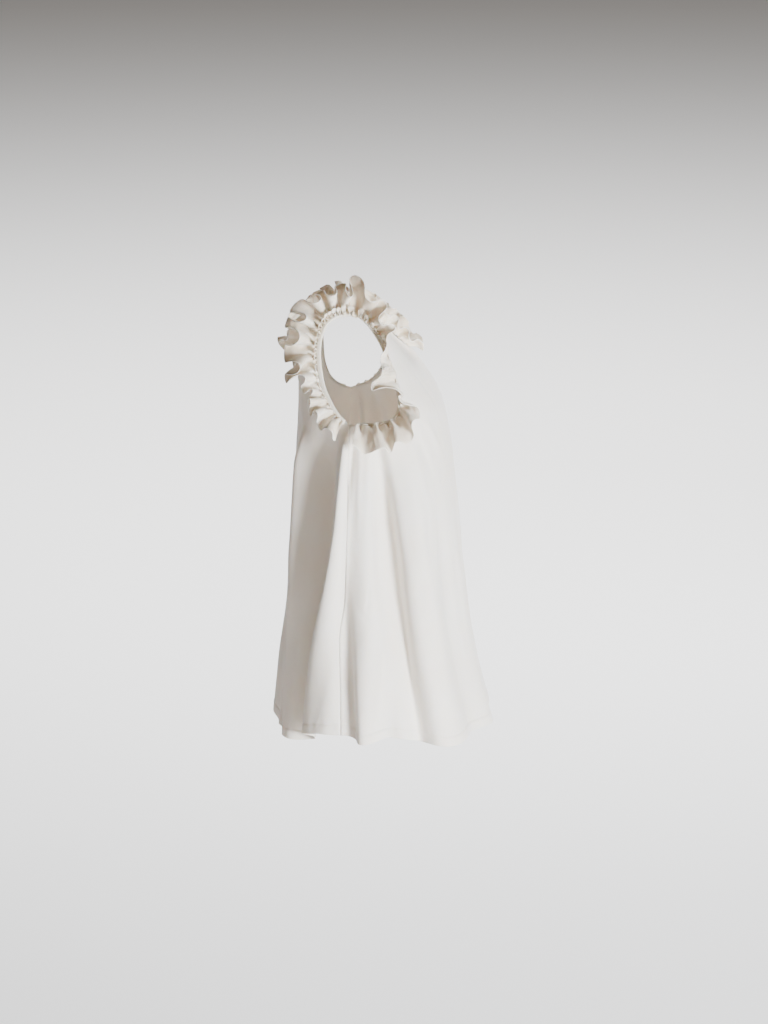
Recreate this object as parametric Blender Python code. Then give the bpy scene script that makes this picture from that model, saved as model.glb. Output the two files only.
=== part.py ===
"""Sleeveless A-line mini dress with gathered ruffles round the armholes and the neck.

Metres, +Z up. The origin lies midway between the two shoulder straps, at their height. The wearer faces -X,
so the wearer's left side is at -Y. The garment is empty and keeps the hollow shape it has when worn.
"""

import math
import random

import bpy
import numpy as np

# Cloth
WALL = 0.0016  # thickness of a cloth wall
SEAM_GAP = 0.0003  # clear distance between two pieces at a seam

# Cross sections down the dress. drop runs down the cloth from the shoulder line; x_front, x_side and x_back are
# where the section is foremost, widest and rearmost; square is the power of its superellipse.
SECTION_COLUMNS = ("drop", "z", "x_front", "x_side", "x_back", "half_width", "square")
SECTIONS = (
    (0.000, 0.004, -0.0006, 0.000, 0.0006, 0.100, 2.4),
    (0.020, 0.002, -0.028, 0.000, 0.024, 0.101, 2.6),
    (0.040, -0.006, -0.052, 0.000, 0.043, 0.104, 2.8),
    (0.060, -0.020, -0.070, 0.001, 0.062, 0.108, 3.0),
    (0.086, -0.041, -0.084, 0.003, 0.083, 0.115, 3.0),
    (0.115, -0.070, -0.092, 0.008, 0.108, 0.126, 2.9),
    (0.165, -0.120, -0.097, 0.018, 0.145, 0.147, 2.7),
    (0.225, -0.180, -0.099, 0.028, 0.177, 0.173, 2.5),
    (0.315, -0.270, -0.104, 0.038, 0.194, 0.193, 2.3),
    (0.463, -0.418, -0.111, 0.050, 0.211, 0.222, 2.2),
    (0.610, -0.565, -0.119, 0.058, 0.226, 0.245, 2.1),
    (0.730, -0.685, -0.134, 0.063, 0.247, 0.261, 2.1),
    (0.829, -0.784, -0.1425, 0.065, 0.272, 0.272, 2.1),
    (0.880, -0.835, -0.147, 0.066, 0.284, 0.277, 2.1),
)

# The side seam: x at each drop
SIDE_SEAM = ((0.234, 0.000), (0.400, -0.002), (0.560, -0.008), (0.640, -0.017), (0.880, -0.019))

# Half an armhole each, from the shoulder line down to the side seam: drop and x. The left one has sagged back.
LEFT_ARMHOLE_FRONT = (
    (0.020, -0.019), (0.045, -0.040), (0.075, -0.052), (0.105, -0.057),
    (0.163, -0.050), (0.195, -0.036), (0.220, -0.018),
)
LEFT_ARMHOLE_BACK = (
    (0.020, 0.016), (0.045, 0.031), (0.070, 0.046), (0.092, 0.058), (0.117, 0.068),
    (0.182, 0.090), (0.208, 0.092), (0.224, 0.082), (0.231, 0.062), (0.2325, 0.040), (0.2335, 0.018),
)
RIGHT_ARMHOLE_FRONT = (
    (0.020, -0.019), (0.045, -0.038), (0.075, -0.050), (0.105, -0.054),
    (0.165, -0.052), (0.203, -0.042), (0.226, -0.022),
)
RIGHT_ARMHOLE_BACK = (
    (0.020, 0.016), (0.045, 0.031), (0.070, 0.046), (0.092, 0.056),
    (0.117, 0.062), (0.166, 0.066), (0.203, 0.054), (0.226, 0.028),
)
STRAP_OUTER_ANGLE = 38.0  # degrees from the side, at the shoulder line
NECK_FRONT = ((58.0, 0.000), (62.0, 0.036), (70.0, 0.074), (80.0, 0.098), (90.0, 0.105))  # degrees, drop
NECK_BACK = ((58.0, 0.000), (62.0, 0.040), (70.0, 0.080), (80.0, 0.106), (90.0, 0.113))  # degrees, drop

# Hem: drop at each angle from the left side, minus to the front
HEM = (
    (-180, 0.822), (-150, 0.826), (-120, 0.820), (-95, 0.828), (-75, 0.846), (-55, 0.855), (-42, 0.846),
    (-32, 0.818), (-22, 0.818), (-11, 0.830), (3, 0.820), (20, 0.832), (34, 0.842), (55, 0.838),
    (90, 0.836), (120, 0.828), (150, 0.832), (180, 0.822),
)

# Long folds: angle under the arm and at the hem, drop where it starts, half width in degrees at both ends, and
# how far it stands out (minus: how deep it goes in) at the hem. early is the share it already has up high.
FOLD_COLUMNS = ("at_top", "at_hem", "start", "wide_top", "wide_hem", "out", "early")
FOLDS = (
    (-66, -58, 0.24, 14, 8, 0.006, 0.5),
    (-38, -45, 0.20, 11, 8, -0.034, 0.8),
    (-21, -33, 0.19, 6, 8, 0.012, 0.9),
    (-6, -11, 0.26, 9, 8, 0.012, 0.4),
    (10, 5, 0.28, 9, 10, -0.014, 0.5),
    (24, 34, 0.26, 12, 11, 0.014, 0.5),
    (46, 56, 0.34, 10, 9, -0.012, 0.3),
    (66, 74, 0.40, 9, 8, 0.006, 0.3),
    (92, 94, 0.42, 9, 8, -0.008, 0.2),
    (112, 116, 0.44, 11, 9, 0.008, 0.2),
    (134, 135, 0.42, 11, 9, -0.014, 0.1),
    (152, 154, 0.38, 10, 9, 0.012, 0.2),
    (172, 172, 0.28, 9, 9, -0.012, 0.4),
    (190, 191, 0.28, 9, 8, 0.010, 0.5),
    (207, 209, 0.24, 9, 8, -0.022, 0.6),
    (226, 228, 0.26, 10, 9, 0.010, 0.4),
    (247, 248, 0.34, 10, 9, -0.012, 0.3),
    (268, 270, 0.40, 10, 9, 0.006, 0.2),
)

FOLD_RUN_IN = 0.14  # length over which a fold grows from nothing

# Ruffles: share of the way along, distance of the seam line from the cloth's edge, width, angle it leaves the
# cloth at, angle of its free edge (90 stands straight out, over 90 leans over the opening), how far its waves
# swing and how far it sinks under its own weight. An armhole's runs from the seam over the shoulder and back.
RUFFLE_COLUMNS = ("along", "set_back", "wide", "rise", "curl", "swing", "sink")
LEFT_RUFFLE = (
    (0.00, 0.004, 0.046, 70, 40, 0.009, 0.012),
    (0.10, 0.006, 0.054, 65, 35, 0.015, 0.014),
    (0.22, 0.012, 0.058, 60, 30, 0.016, 0.010),
    (0.33, 0.015, 0.064, 55, 30, 0.017, 0.004),
    (0.38, 0.012, 0.062, 66, 48, 0.015, 0.000),
    (0.43, 0.006, 0.060, 90, 80, 0.014, 0.000),
    (0.47, 0.004, 0.058, 105, 105, 0.012, 0.000),
    (0.51, 0.004, 0.056, 100, 97, 0.012, 0.000),
    (0.58, 0.004, 0.050, 98, 90, 0.012, 0.000),
    (0.63, 0.004, 0.042, 105, 115, 0.011, 0.004),
    (0.70, 0.004, 0.044, 115, 150, 0.011, 0.010),
    (0.76, 0.004, 0.050, 110, 135, 0.012, 0.014),
    (0.82, 0.004, 0.054, 80, 60, 0.013, 0.014),
    (0.88, 0.005, 0.058, 70, 35, 0.015, 0.012),
    (0.94, 0.005, 0.056, 65, 35, 0.014, 0.012),
    (1.00, 0.004, 0.048, 65, 40, 0.009, 0.012),
)
RIGHT_RUFFLE = (
    (0.00, 0.004, 0.044, 70, 40, 0.008, 0.010),
    (0.12, 0.006, 0.054, 65, 35, 0.013, 0.012),
    (0.30, 0.012, 0.060, 60, 30, 0.015, 0.008),
    (0.42, 0.006, 0.048, 110, 145, 0.010, 0.004),
    (0.53, 0.004, 0.044, 118, 190, 0.009, 0.004),
    (0.63, 0.004, 0.046, 112, 165, 0.010, 0.004),
    (0.75, 0.005, 0.054, 75, 50, 0.013, 0.008),
    (0.87, 0.006, 0.056, 65, 35, 0.014, 0.012),
    (1.00, 0.004, 0.046, 65, 40, 0.008, 0.010),
)
NECK_RUFFLE = (
    (0.000, 0.003, 0.028, 115, 130, 0.005, 0.000),
    (0.060, 0.003, 0.028, 120, 140, 0.005, 0.000),
    (0.120, 0.003, 0.030, 115, 125, 0.006, 0.000),
    (0.180, 0.005, 0.036, 95, 78, 0.008, 0.002),
    (0.250, 0.005, 0.042, 75, 35, 0.010, 0.006),
    (0.325, 0.005, 0.036, 92, 75, 0.008, 0.002),
    (0.390, 0.003, 0.030, 112, 120, 0.006, 0.000),
    (0.490, 0.003, 0.028, 115, 130, 0.005, 0.000),
    (0.600, 0.004, 0.030, 105, 100, 0.006, 0.000),
    (0.670, 0.005, 0.034, 84, 60, 0.008, 0.002),
    (0.750, 0.005, 0.035, 70, 30, 0.009, 0.003),
    (0.830, 0.005, 0.034, 84, 60, 0.008, 0.002),
    (0.900, 0.004, 0.030, 105, 100, 0.006, 0.000),
    (1.000, 0.003, 0.028, 115, 130, 0.005, 0.000),
)
ARM_WAVES = 18
NECK_WAVES = 18
ARM_COLUMNS_A_WAVE = 9
NECK_COLUMNS_A_WAVE = 8
ARM_ROWS = (-0.12, 0.0, 0.34, 0.68, 1.0)  # shares of the width; the heading above the seam line comes first
NECK_ROWS = (-0.14, 0.0, 0.5, 1.0)
HEADING_SWING = 0.0012
OVERHANG = 0.30  # sideways share of a wave's swing, which makes its folds bulge
FLAT_TOPS = 0.12  # share of a wave three times as short
LEAST_SWING = 0.0008  # swing at the seam line
SWING_POWER = 0.8  # how the swing grows over the width
UNEVEN_PHASE = 0.7  # how unevenly the waves are spaced, in radians
UNEVEN_SWING = 0.35
UNEVEN_WIDTH = 0.10
ARM_CLEAR = 0.0052  # how far the seam line of a ruffle lies above the cloth: over the binding
NECK_CLEAR = 0.0023
RUFFLE_END = 0.010  # length left free at each end, at the side seam
EDGE_STEPS = 60  # steps in which an edge is read before it is evened out
BLUR_POINTS = 2
BLUR_NORMALS = 8

# Bias binding round an armhole
BINDING_WIDE = 0.007
BINDING_WALL = 0.0010
BINDING_GAP = 0.0009
BINDING_LIFT = 0.0022  # its inner edge stands a little off the cloth

FRONT_CELLS = 32
BACK_CELLS = 40
STRAP_ROWS = 2
ARMHOLE_ROWS = 12
SKIRT_ROWS = 11
COLUMN_EASE = 2.8  # over 1: the columns fan out high up and run straight below
SMALL_TURN = 0.4  # degrees, for a slope across the cloth
SMALL_DROP = 0.002  # for a slope down the cloth

CREAM = (0.80, 0.76, 0.69, 1.0)


def smooth(table, column, x):
    """Monotone cubic through a column of a table whose first column rises."""
    xs = np.array([row[0] for row in table], float)
    ys = np.array([row[column] for row in table], float)
    step = np.diff(xs)
    slope = np.diff(ys) / step
    tangent = np.empty_like(ys)
    tangent[0] = slope[0]
    tangent[-1] = slope[-1]
    for i in range(1, len(ys) - 1):
        same_way = slope[i - 1] * slope[i] > 0
        tangent[i] = 2 * slope[i - 1] * slope[i] / (slope[i - 1] + slope[i]) if same_way else 0.0
    x = np.clip(x, xs[0], xs[-1])
    i = np.clip(np.searchsorted(xs, x) - 1, 0, len(step) - 1)
    t = (x - xs[i]) / step[i]
    left = (1 + 2 * t) * (1 - t) ** 2 * ys[i] + t * (1 - t) ** 2 * step[i] * tangent[i]
    right = t * t * (3 - 2 * t) * ys[i + 1] + t * t * (t - 1) * step[i] * tangent[i + 1]
    return left + right


def section(drop):
    """The named sizes of the cross section at a drop."""
    return {name: smooth(SECTIONS, i, drop) for i, name in enumerate(SECTION_COLUMNS)}


def fold_offset(angle, drop):
    """How far the long folds move the cloth out at an angle (degrees) and drop."""
    total = np.zeros(np.broadcast(angle, drop).shape)
    under_arm = SIDE_SEAM[0][0]
    hem = SECTIONS[-2][0]
    for at_top, at_hem, start, wide_top, wide_hem, out, early in FOLDS:
        down = np.clip((drop - under_arm) / (hem - under_arm), 0.0, 1.1)
        begin = np.clip((drop - start) / FOLD_RUN_IN, 0.0, 1.0)
        begin = begin * begin * (3 - 2 * begin)
        away = (angle - (at_top + (at_hem - at_top) * down) + 180.0) % 360.0 - 180.0
        wide = wide_top + (wide_hem - wide_top) * down
        total = total + out * begin * (early + (1 - early) * down) * np.exp(-((away / wide) ** 2))
    return total


def body_point(angle, drop):
    """A point of the cloth's outer face: angle in degrees from the left side, minus to the front."""
    angle, drop = np.broadcast_arrays(np.asarray(angle, float), np.asarray(drop, float))
    at = section(drop)
    turn = np.radians(angle)
    sine = np.sin(turn)
    cosine = np.cos(turn)
    power = at["square"]
    radius = (np.abs(sine) ** power + np.abs(cosine) ** power) ** (-1.0 / power)
    reach = np.where(sine > 0, at["x_back"] - at["x_side"], at["x_side"] - at["x_front"])
    x = at["x_side"] + reach * radius * sine
    y = -at["half_width"] * radius * cosine
    lean = np.hypot(sine / np.maximum(reach, 0.02), cosine / at["half_width"])
    out = fold_offset(angle, drop) / lean
    x = x + out * sine / np.maximum(reach, 0.02)
    y = y - out * cosine / at["half_width"]
    return np.stack([x, y, at["z"]], axis=-1)


def body_normal(angle, drop):
    """The outward direction of the cloth there."""
    across = body_point(angle + SMALL_TURN, drop) - body_point(angle - SMALL_TURN, drop)
    down = body_point(angle, drop + SMALL_DROP) - body_point(angle, np.maximum(drop - SMALL_DROP, 0.0))
    return unit(np.cross(down, across))


def unit(vectors):
    return vectors / np.maximum(np.linalg.norm(vectors, axis=-1, keepdims=True), 1e-9)


def angle_at(x, drop):
    """The angle from the left side at which the section reaches x, on the near half."""
    at = section(np.asarray(drop, float))
    reach = np.where(x > at["x_side"], at["x_back"] - at["x_side"], at["x_side"] - at["x_front"])
    share = np.clip((x - at["x_side"]) / reach, -0.999, 0.999)
    other = (1 - np.abs(share) ** at["square"]) ** (1 / at["square"])
    return np.degrees(np.arctan2(share, other))


def resampled(domain, count):
    """count + 1 points evenly spaced in space along a line of (angle, drop) points."""
    domain = np.asarray(domain, float)
    length = np.linalg.norm(np.diff(body_point(domain[:, 0], domain[:, 1]), axis=0), axis=1)
    along = np.concatenate([[0.0], np.cumsum(length)])
    table = np.column_stack([along, domain])
    at = np.linspace(0.0, along[-1], count + 1)
    return np.column_stack([smooth(table, 1, at), smooth(table, 2, at)])


def strap_edge(sign):
    """The shoulder line from the neck to the armhole."""
    neck = NECK_FRONT[0][0]
    return resampled([(sign * neck, 0.0), (sign * STRAP_OUTER_ANGLE, 0.0)], STRAP_ROWS)


def armhole_edge(table, sign, count):
    """Half an armhole's edge, from the shoulder line to the side seam."""
    seam_drop, seam_x = SIDE_SEAM[0]
    rows = [(sign * STRAP_OUTER_ANGLE, 0.0)]
    rows += [(float(angle_at(x, drop)), drop) for drop, x in table]
    rows.append((float(angle_at(seam_x, seam_drop)), seam_drop))
    return resampled(rows, count)


def side_seam(hem_row):
    drops = np.linspace(SIDE_SEAM[0][0], hem_row, SKIRT_ROWS + 1)
    return np.column_stack([angle_at(smooth(SIDE_SEAM, 1, drops), drops), drops])


def hem_drop(angle):
    return smooth(HEM, 1, (np.asarray(angle) + 180.0) % 360.0 - 180.0)


def panel_side(table, sign):
    """One side edge of a panel from the neck to the hem, on the wearer's left: (angle, drop) points."""
    strap = strap_edge(sign)
    armhole = armhole_edge(table, sign, ARMHOLE_ROWS)
    last = float(angle_at(SIDE_SEAM[-1][1], SECTIONS[-2][0]))
    seam = side_seam(float(hem_drop(last)))
    line = np.vstack([strap, armhole[1:], seam[1:]])
    # Half of the seam gap is taken off each panel.
    turn = body_point(line[:, 0] + 0.5, line[:, 1]) - body_point(line[:, 0] - 0.5, line[:, 1])
    degree = np.linalg.norm(turn, axis=1) + 1e-6
    below = line[:, 1] > SIDE_SEAM[0][0] - 0.02
    line[:, 0] += np.where(below, sign * 0.5 * SEAM_GAP / degree, 0.0)
    return line


def mirrored(line, sign):
    """The same line on the wearer's right."""
    return np.column_stack([sign * 180.0 - line[:, 0], line[:, 1]])


def panel_domain(left, right, neck, sign, cells):
    """A grid of (angle, drop) between a panel's two side edges, its neck edge and its hem."""
    half = np.linspace(0.0, 1.0, cells // 2 + 1)
    neck_table = [(abs(a - neck[0][0]) / (90.0 - neck[0][0]), a, d) for a, d in neck]
    near = np.column_stack([sign * smooth(neck_table, 1, half), smooth(neck_table, 2, half)])
    top = np.vstack([near, mirrored(near[::-1], sign)[1:]])
    u = np.linspace(0.0, 1.0, cells + 1)
    angles = left[-1, 0] + (right[-1, 0] - left[-1, 0]) * u
    bottom = np.column_stack([angles, hem_drop(angles)])
    bottom[0] = left[-1]
    bottom[-1] = right[-1]
    even = np.linspace(0.0, 1.0, len(left))[:, None]
    # Columns reach their hem angle early, so that they run along the folds.
    early = 1.0 - (1.0 - even) ** COLUMN_EASE
    # Down the middle the rows are evenly spaced; at a side they follow the edge line.
    middle = 1.0 - np.abs(2.0 * u - 1.0) ** 3
    side = (1 - u) * (left[:, 1] / left[-1, 1])[:, None] + u * (right[:, 1] / right[-1, 1])[:, None]
    share = (1 - middle) * side + middle * even
    drops = top[:, 1] + (bottom[:, 1] - top[:, 1]) * share
    turn = (1 - early) * top[:, 0] + early * bottom[:, 0]
    turn = turn + (1 - u) * (left[:, :1] - (1 - early) * left[0, 0] - early * left[-1, 0])
    turn = turn + u * (right[:, :1] - (1 - early) * right[0, 0] - early * right[-1, 0])
    return np.stack([turn, drops], axis=-1)


def new_material(name):
    material = bpy.data.materials.new(name)
    material.use_nodes = True
    shader = material.node_tree.nodes["Principled BSDF"]
    shader.inputs["Base Color"].default_value = CREAM
    shader.inputs["Roughness"].default_value = 0.8
    return material


def add_object(name, points, faces):
    mesh = bpy.data.meshes.new(name)
    mesh.from_pydata([tuple(p) for p in points], [], faces)
    mesh.materials.append(new_material(name))
    mesh.validate()
    body = bpy.data.objects.new(name, mesh)
    bpy.context.scene.collection.objects.link(body)
    return body


def grid_normals(points, ring):
    """Vertex normals of a grid of points, which bisect its folds."""
    if ring:
        points = np.concatenate([points[:, -1:], points, points[:, :1]], axis=1)
    steps = unit(np.diff(points, axis=1))
    across = np.concatenate([steps[:, :1], steps[:, 1:] + steps[:, :-1], steps[:, -1:]], axis=1)
    steps = unit(np.diff(points, axis=0))
    down = np.concatenate([steps[:1], steps[1:] + steps[:-1], steps[-1:]], axis=0)
    normals = unit(np.cross(down, across))
    return normals[:, 1:-1] if ring else normals


def add_sheet(name, outer, inner, ring=False):
    """A closed thin solid between two grids of points. A ring closes on itself along its columns."""
    rows, columns = outer.shape[:2]
    flat = np.concatenate([outer.reshape(-1, 3), inner.reshape(-1, 3)])
    below = rows * columns
    faces = []

    def at(row, column):
        return row * columns + column % columns

    last = columns if ring else columns - 1
    for row in range(rows - 1):
        for column in range(last):
            a, b = at(row, column), at(row, column + 1)
            c, d = at(row + 1, column + 1), at(row + 1, column)
            faces.append((a, d, c, b))
            faces.append((below + a, below + b, below + c, below + d))
    for column in range(last):
        a, b = at(0, column), at(0, column + 1)
        c, d = at(rows - 1, column), at(rows - 1, column + 1)
        faces.append((a, b, below + b, below + a))
        faces.append((d, c, below + c, below + d))
    if not ring:
        for row in range(rows - 1):
            a, b = at(row, 0), at(row + 1, 0)
            c, d = at(row, columns - 1), at(row + 1, columns - 1)
            faces.append((b, a, below + a, below + b))
            faces.append((c, d, below + d, below + c))
    return add_object(name, flat, faces)


def add_panel(name, front_back, left, right, neck, cells):
    """Builds a panel and returns its grid of (angle, drop), from the left side to the right."""
    grid = panel_domain(left, right, neck, front_back, cells)
    outer = body_point(grid[..., 0], grid[..., 1])
    normals = body_normal(grid[..., 0], grid[..., 1])
    turn = slice(None, None, front_back)
    add_sheet(name, outer[:, turn], (outer - WALL * normals)[:, turn])
    return grid


def edge_frames(lines, count, closed=False):
    """Points, outward directions and directions along an edge given as (angle, drop) lines, evenly spaced."""
    even = [resampled(line, EDGE_STEPS) for line in lines]
    points = np.vstack([body_point(line[:, 0], line[:, 1]) for line in even])
    normals = np.vstack([body_normal(line[:, 0], line[:, 1]) for line in even])
    if closed:
        points = np.vstack([points, points[:1]])
        normals = np.vstack([normals, normals[:1]])
    length = np.concatenate([[0.0], np.cumsum(np.linalg.norm(np.diff(points, axis=0), axis=1) + 1e-7)])
    table = np.column_stack([length, points, normals])
    at = np.linspace(0.0, length[-1], count + 1)
    if closed:
        at = at[:-1]
    points = np.column_stack([smooth(table, i, at) for i in (1, 2, 3)])
    normals = np.column_stack([smooth(table, i, at) for i in (4, 5, 6)])
    points = blurred(points, BLUR_POINTS, closed)
    normals = unit(blurred(normals, BLUR_NORMALS, closed))
    if closed:
        along = unit(np.roll(points, -1, axis=0) - np.roll(points, 1, axis=0))
    else:
        along = unit(np.gradient(points, axis=0))
    normals = unit(normals - along * (normals * along).sum(axis=1, keepdims=True))
    return points, normals, along


def blurred(values, times, closed):
    """Rows of values, each mixed with its two neighbours."""
    for _ in range(times):
        if closed:
            padded = np.vstack([values[-1:], values, values[:1]])
        else:
            padded = np.vstack([values[:1], values, values[-1:]])
        values = (padded[:-2] + 2 * padded[1:-1] + padded[2:]) / 4
    return values


def wave_noise(waves, seed, share):
    """A smooth value between -1 and 1 for each wave, read at shares of the length."""
    chance = random.Random(seed)
    values = [chance.uniform(-1.0, 1.0) for _ in range(waves + 1)]
    values[-1] = values[0]
    table = [(i / waves, value) for i, value in enumerate(values)]
    return smooth(table, 1, share)


def ruffle_points(frames, away, table, waves, seed, rows, clear, closed):
    """Mid-surface grid of a gathered strip sewn along an edge."""
    points, normals, along = frames
    count = len(points)
    share = np.arange(count) / (count if closed else count - 1)
    sizes = {name: smooth(table, i, share)[:, None] for i, name in enumerate(RUFFLE_COLUMNS)}
    phase = 2 * math.pi * waves * share + UNEVEN_PHASE * wave_noise(waves, seed, share)
    phase = phase[:, None]
    swing = sizes["swing"] * (1 + UNEVEN_SWING * wave_noise(waves, seed + 1, share)[:, None])
    wide = sizes["wide"] * (1 + UNEVEN_WIDTH * wave_noise(waves, seed + 2, share)[:, None])
    base = points + away * sizes["set_back"] + normals * clear
    grid = []
    for row in rows:
        steps = np.linspace(0.0, abs(row), 9)
        steps = 0.5 * (steps[1:] + steps[:-1])
        path = np.zeros_like(points)
        for step in steps:
            lift = np.radians(sizes["rise"] + (sizes["curl"] - sizes["rise"]) * step)
            path = path + (np.cos(lift) * away + np.sin(lift) * normals) / len(steps)
        if row < 0:
            path = -away
        lift = np.radians(sizes["rise"] + (sizes["curl"] - sizes["rise"]) * max(row, 0.0))
        side = np.cos(lift) * normals - np.sin(lift) * away
        if row < 0:
            side = normals
        reach = HEADING_SWING if row < 0 else swing * row ** SWING_POWER + LEAST_SWING
        wave = np.sin(phase) + FLAT_TOPS * np.sin(3 * phase)
        spot = base + path * wide * abs(row) + side * reach * wave
        spot = spot - along * reach * OVERHANG * np.sin(2 * phase)
        spot = spot - np.array([0.0, 0.0, 1.0]) * sizes["sink"] * max(row, 0.0) ** 2
        grid.append(spot)
    return np.stack(grid)


def add_ruffle(name, frames, away, table, waves, rows, clear, seed, closed=False):
    middle = ruffle_points(frames, away, table, waves, seed, rows, clear, closed)
    normals = grid_normals(middle, closed)
    return add_sheet(name, middle + normals * WALL / 2, middle - normals * WALL / 2, closed)


def moved_on_cloth(angle, drop, step):
    """The (angle, drop) of points moved along the cloth by short steps in space."""
    low = np.maximum(drop - SMALL_DROP, 0.0)
    turn = (body_point(angle + SMALL_TURN, drop) - body_point(angle - SMALL_TURN, drop)) / (2 * SMALL_TURN)
    down = (body_point(angle, drop + SMALL_DROP) - body_point(angle, low)) / (drop + SMALL_DROP - low)[:, None]
    a, b, c = (turn * turn).sum(1), (turn * down).sum(1), (down * down).sum(1)
    p, q = (turn * step).sum(1), (down * step).sum(1)
    size = a * c - b * b
    return angle + (c * p - b * q) / size, np.maximum(drop + (a * q - b * p) / size, 0.0)


def add_binding(name, front, back, column, flip):
    """A strip turned over an armhole's edge, on the same points as the edges of both panels."""
    rows = slice(STRAP_ROWS, STRAP_ROWS + ARMHOLE_ROWS + 1)
    edge = np.vstack([front[rows, column][::-1], back[rows, column][1:]])[1:-1]
    angle, drop = edge[:, 0], edge[:, 1]
    points = body_point(angle, drop)
    normals = body_normal(angle, drop)
    along = unit(np.gradient(points, axis=0))
    away = unit(np.cross(normals, along)) * (1.0 if flip else -1.0)
    inner_angle, inner_drop = moved_on_cloth(angle, drop, away * BINDING_WIDE)
    second = body_point(inner_angle, inner_drop)
    second_normals = body_normal(inner_angle, inner_drop)
    gap = BINDING_GAP
    far = gap + BINDING_WALL
    lifted = BINDING_LIFT + BINDING_WALL
    profile = [
        points - away * far + normals * far,
        second + second_normals * lifted,
        second + second_normals * BINDING_LIFT,
        points - away * gap + normals * gap,
        points - away * gap - normals * WALL,
        points - away * far - normals * WALL,
    ]
    rings = np.stack(profile, axis=1)
    count, around = rings.shape[:2]
    faces = []
    for i in range(count - 1):
        for j in range(around):
            a, b = i * around + j, i * around + (j + 1) % around
            faces.append((a, b, b + around, a + around))
    cap = [(0, 1, 2, 3), (0, 3, 4, 5)]
    start = (count - 1) * around
    faces += [tuple(reversed(corners)) for corners in cap]
    faces += [tuple(start + corner for corner in corners) for corners in cap]
    if flip:
        faces = [tuple(reversed(face)) for face in faces]
    return add_object(name, rings.reshape(-1, 3), faces)


def armhole_lines(front, back, right_side):
    """The edge of an armhole, from the side seam up its front, over the shoulder and down its back."""
    front_line = armhole_edge(front, -1, EDGE_STEPS)[::-1]
    back_line = armhole_edge(back, 1, EDGE_STEPS)
    if right_side:
        return mirrored(front_line, -1), mirrored(back_line, 1)
    return front_line, back_line


def neck_lines():
    """The neck edge: the front from left to right, then the back from right to left."""
    front = [(-angle, drop) for angle, drop in NECK_FRONT]
    front += [(angle - 180.0, drop) for angle, drop in NECK_FRONT[-2::-1]]
    back = [(180.0 - angle, drop) for angle, drop in NECK_BACK]
    back += [(angle, drop) for angle, drop in NECK_BACK[-2::-1]]
    return front, back


def trimmed(frames, ends):
    """Frames without a length at each end."""
    points, normals, along = frames
    length = np.concatenate([[0.0], np.cumsum(np.linalg.norm(np.diff(points, axis=0), axis=1))])
    at = np.linspace(ends, length[-1] - ends, len(points))
    return tuple(np.column_stack([np.interp(at, length, part[:, i]) for i in range(3)]) for part in frames)


def add_armhole_ruffle(side, front, back, sizes, seed):
    right_side = side == "right"
    lines = armhole_lines(front, back, right_side)
    frames = trimmed(edge_frames(lines, ARM_WAVES * ARM_COLUMNS_A_WAVE), RUFFLE_END)
    away = unit(np.cross(frames[1], frames[2])) * (-1.0 if right_side else 1.0)
    add_ruffle("armhole_ruffle_" + side, frames, away, sizes, ARM_WAVES, ARM_ROWS, ARM_CLEAR, seed)


for old in list(bpy.context.scene.objects):
    bpy.data.objects.remove(old, do_unlink=True)

left_front = panel_side(LEFT_ARMHOLE_FRONT, -1)
right_front = mirrored(panel_side(RIGHT_ARMHOLE_FRONT, -1), -1)
front_panel = add_panel("front_panel", -1, left_front, right_front, NECK_FRONT, FRONT_CELLS)
left_back = panel_side(LEFT_ARMHOLE_BACK, 1)
right_back = mirrored(panel_side(RIGHT_ARMHOLE_BACK, 1), 1)
back_panel = add_panel("back_panel", 1, left_back, right_back, NECK_BACK, BACK_CELLS)
add_binding("armhole_binding_left", front_panel, back_panel, 0, True)
add_binding("armhole_binding_right", front_panel, back_panel, -1, False)
add_armhole_ruffle("left", LEFT_ARMHOLE_FRONT, LEFT_ARMHOLE_BACK, LEFT_RUFFLE, 11)
add_armhole_ruffle("right", RIGHT_ARMHOLE_FRONT, RIGHT_ARMHOLE_BACK, RIGHT_RUFFLE, 23)

neck = edge_frames(neck_lines(), NECK_WAVES * NECK_COLUMNS_A_WAVE, closed=True)
neck_away = unit(np.cross(neck[1], neck[2]))
add_ruffle("neck_ruffle", neck, neck_away, NECK_RUFFLE, NECK_WAVES, NECK_ROWS, NECK_CLEAR, 37, closed=True)
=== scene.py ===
# %% [markdown]
# # A sleeveless dress with gathered ruffles
# The dress is a light A-line shape in crisp cream cotton. It is empty and keeps the hollow form of being
# worn. Two panels make the body, and gathered strips stand round both armholes and round the neck. This
# notebook loads the solid model as a fixed frame, and then lays a finer cloth piece on each of its solids.

# %% Load the frame
import math
import random

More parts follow.
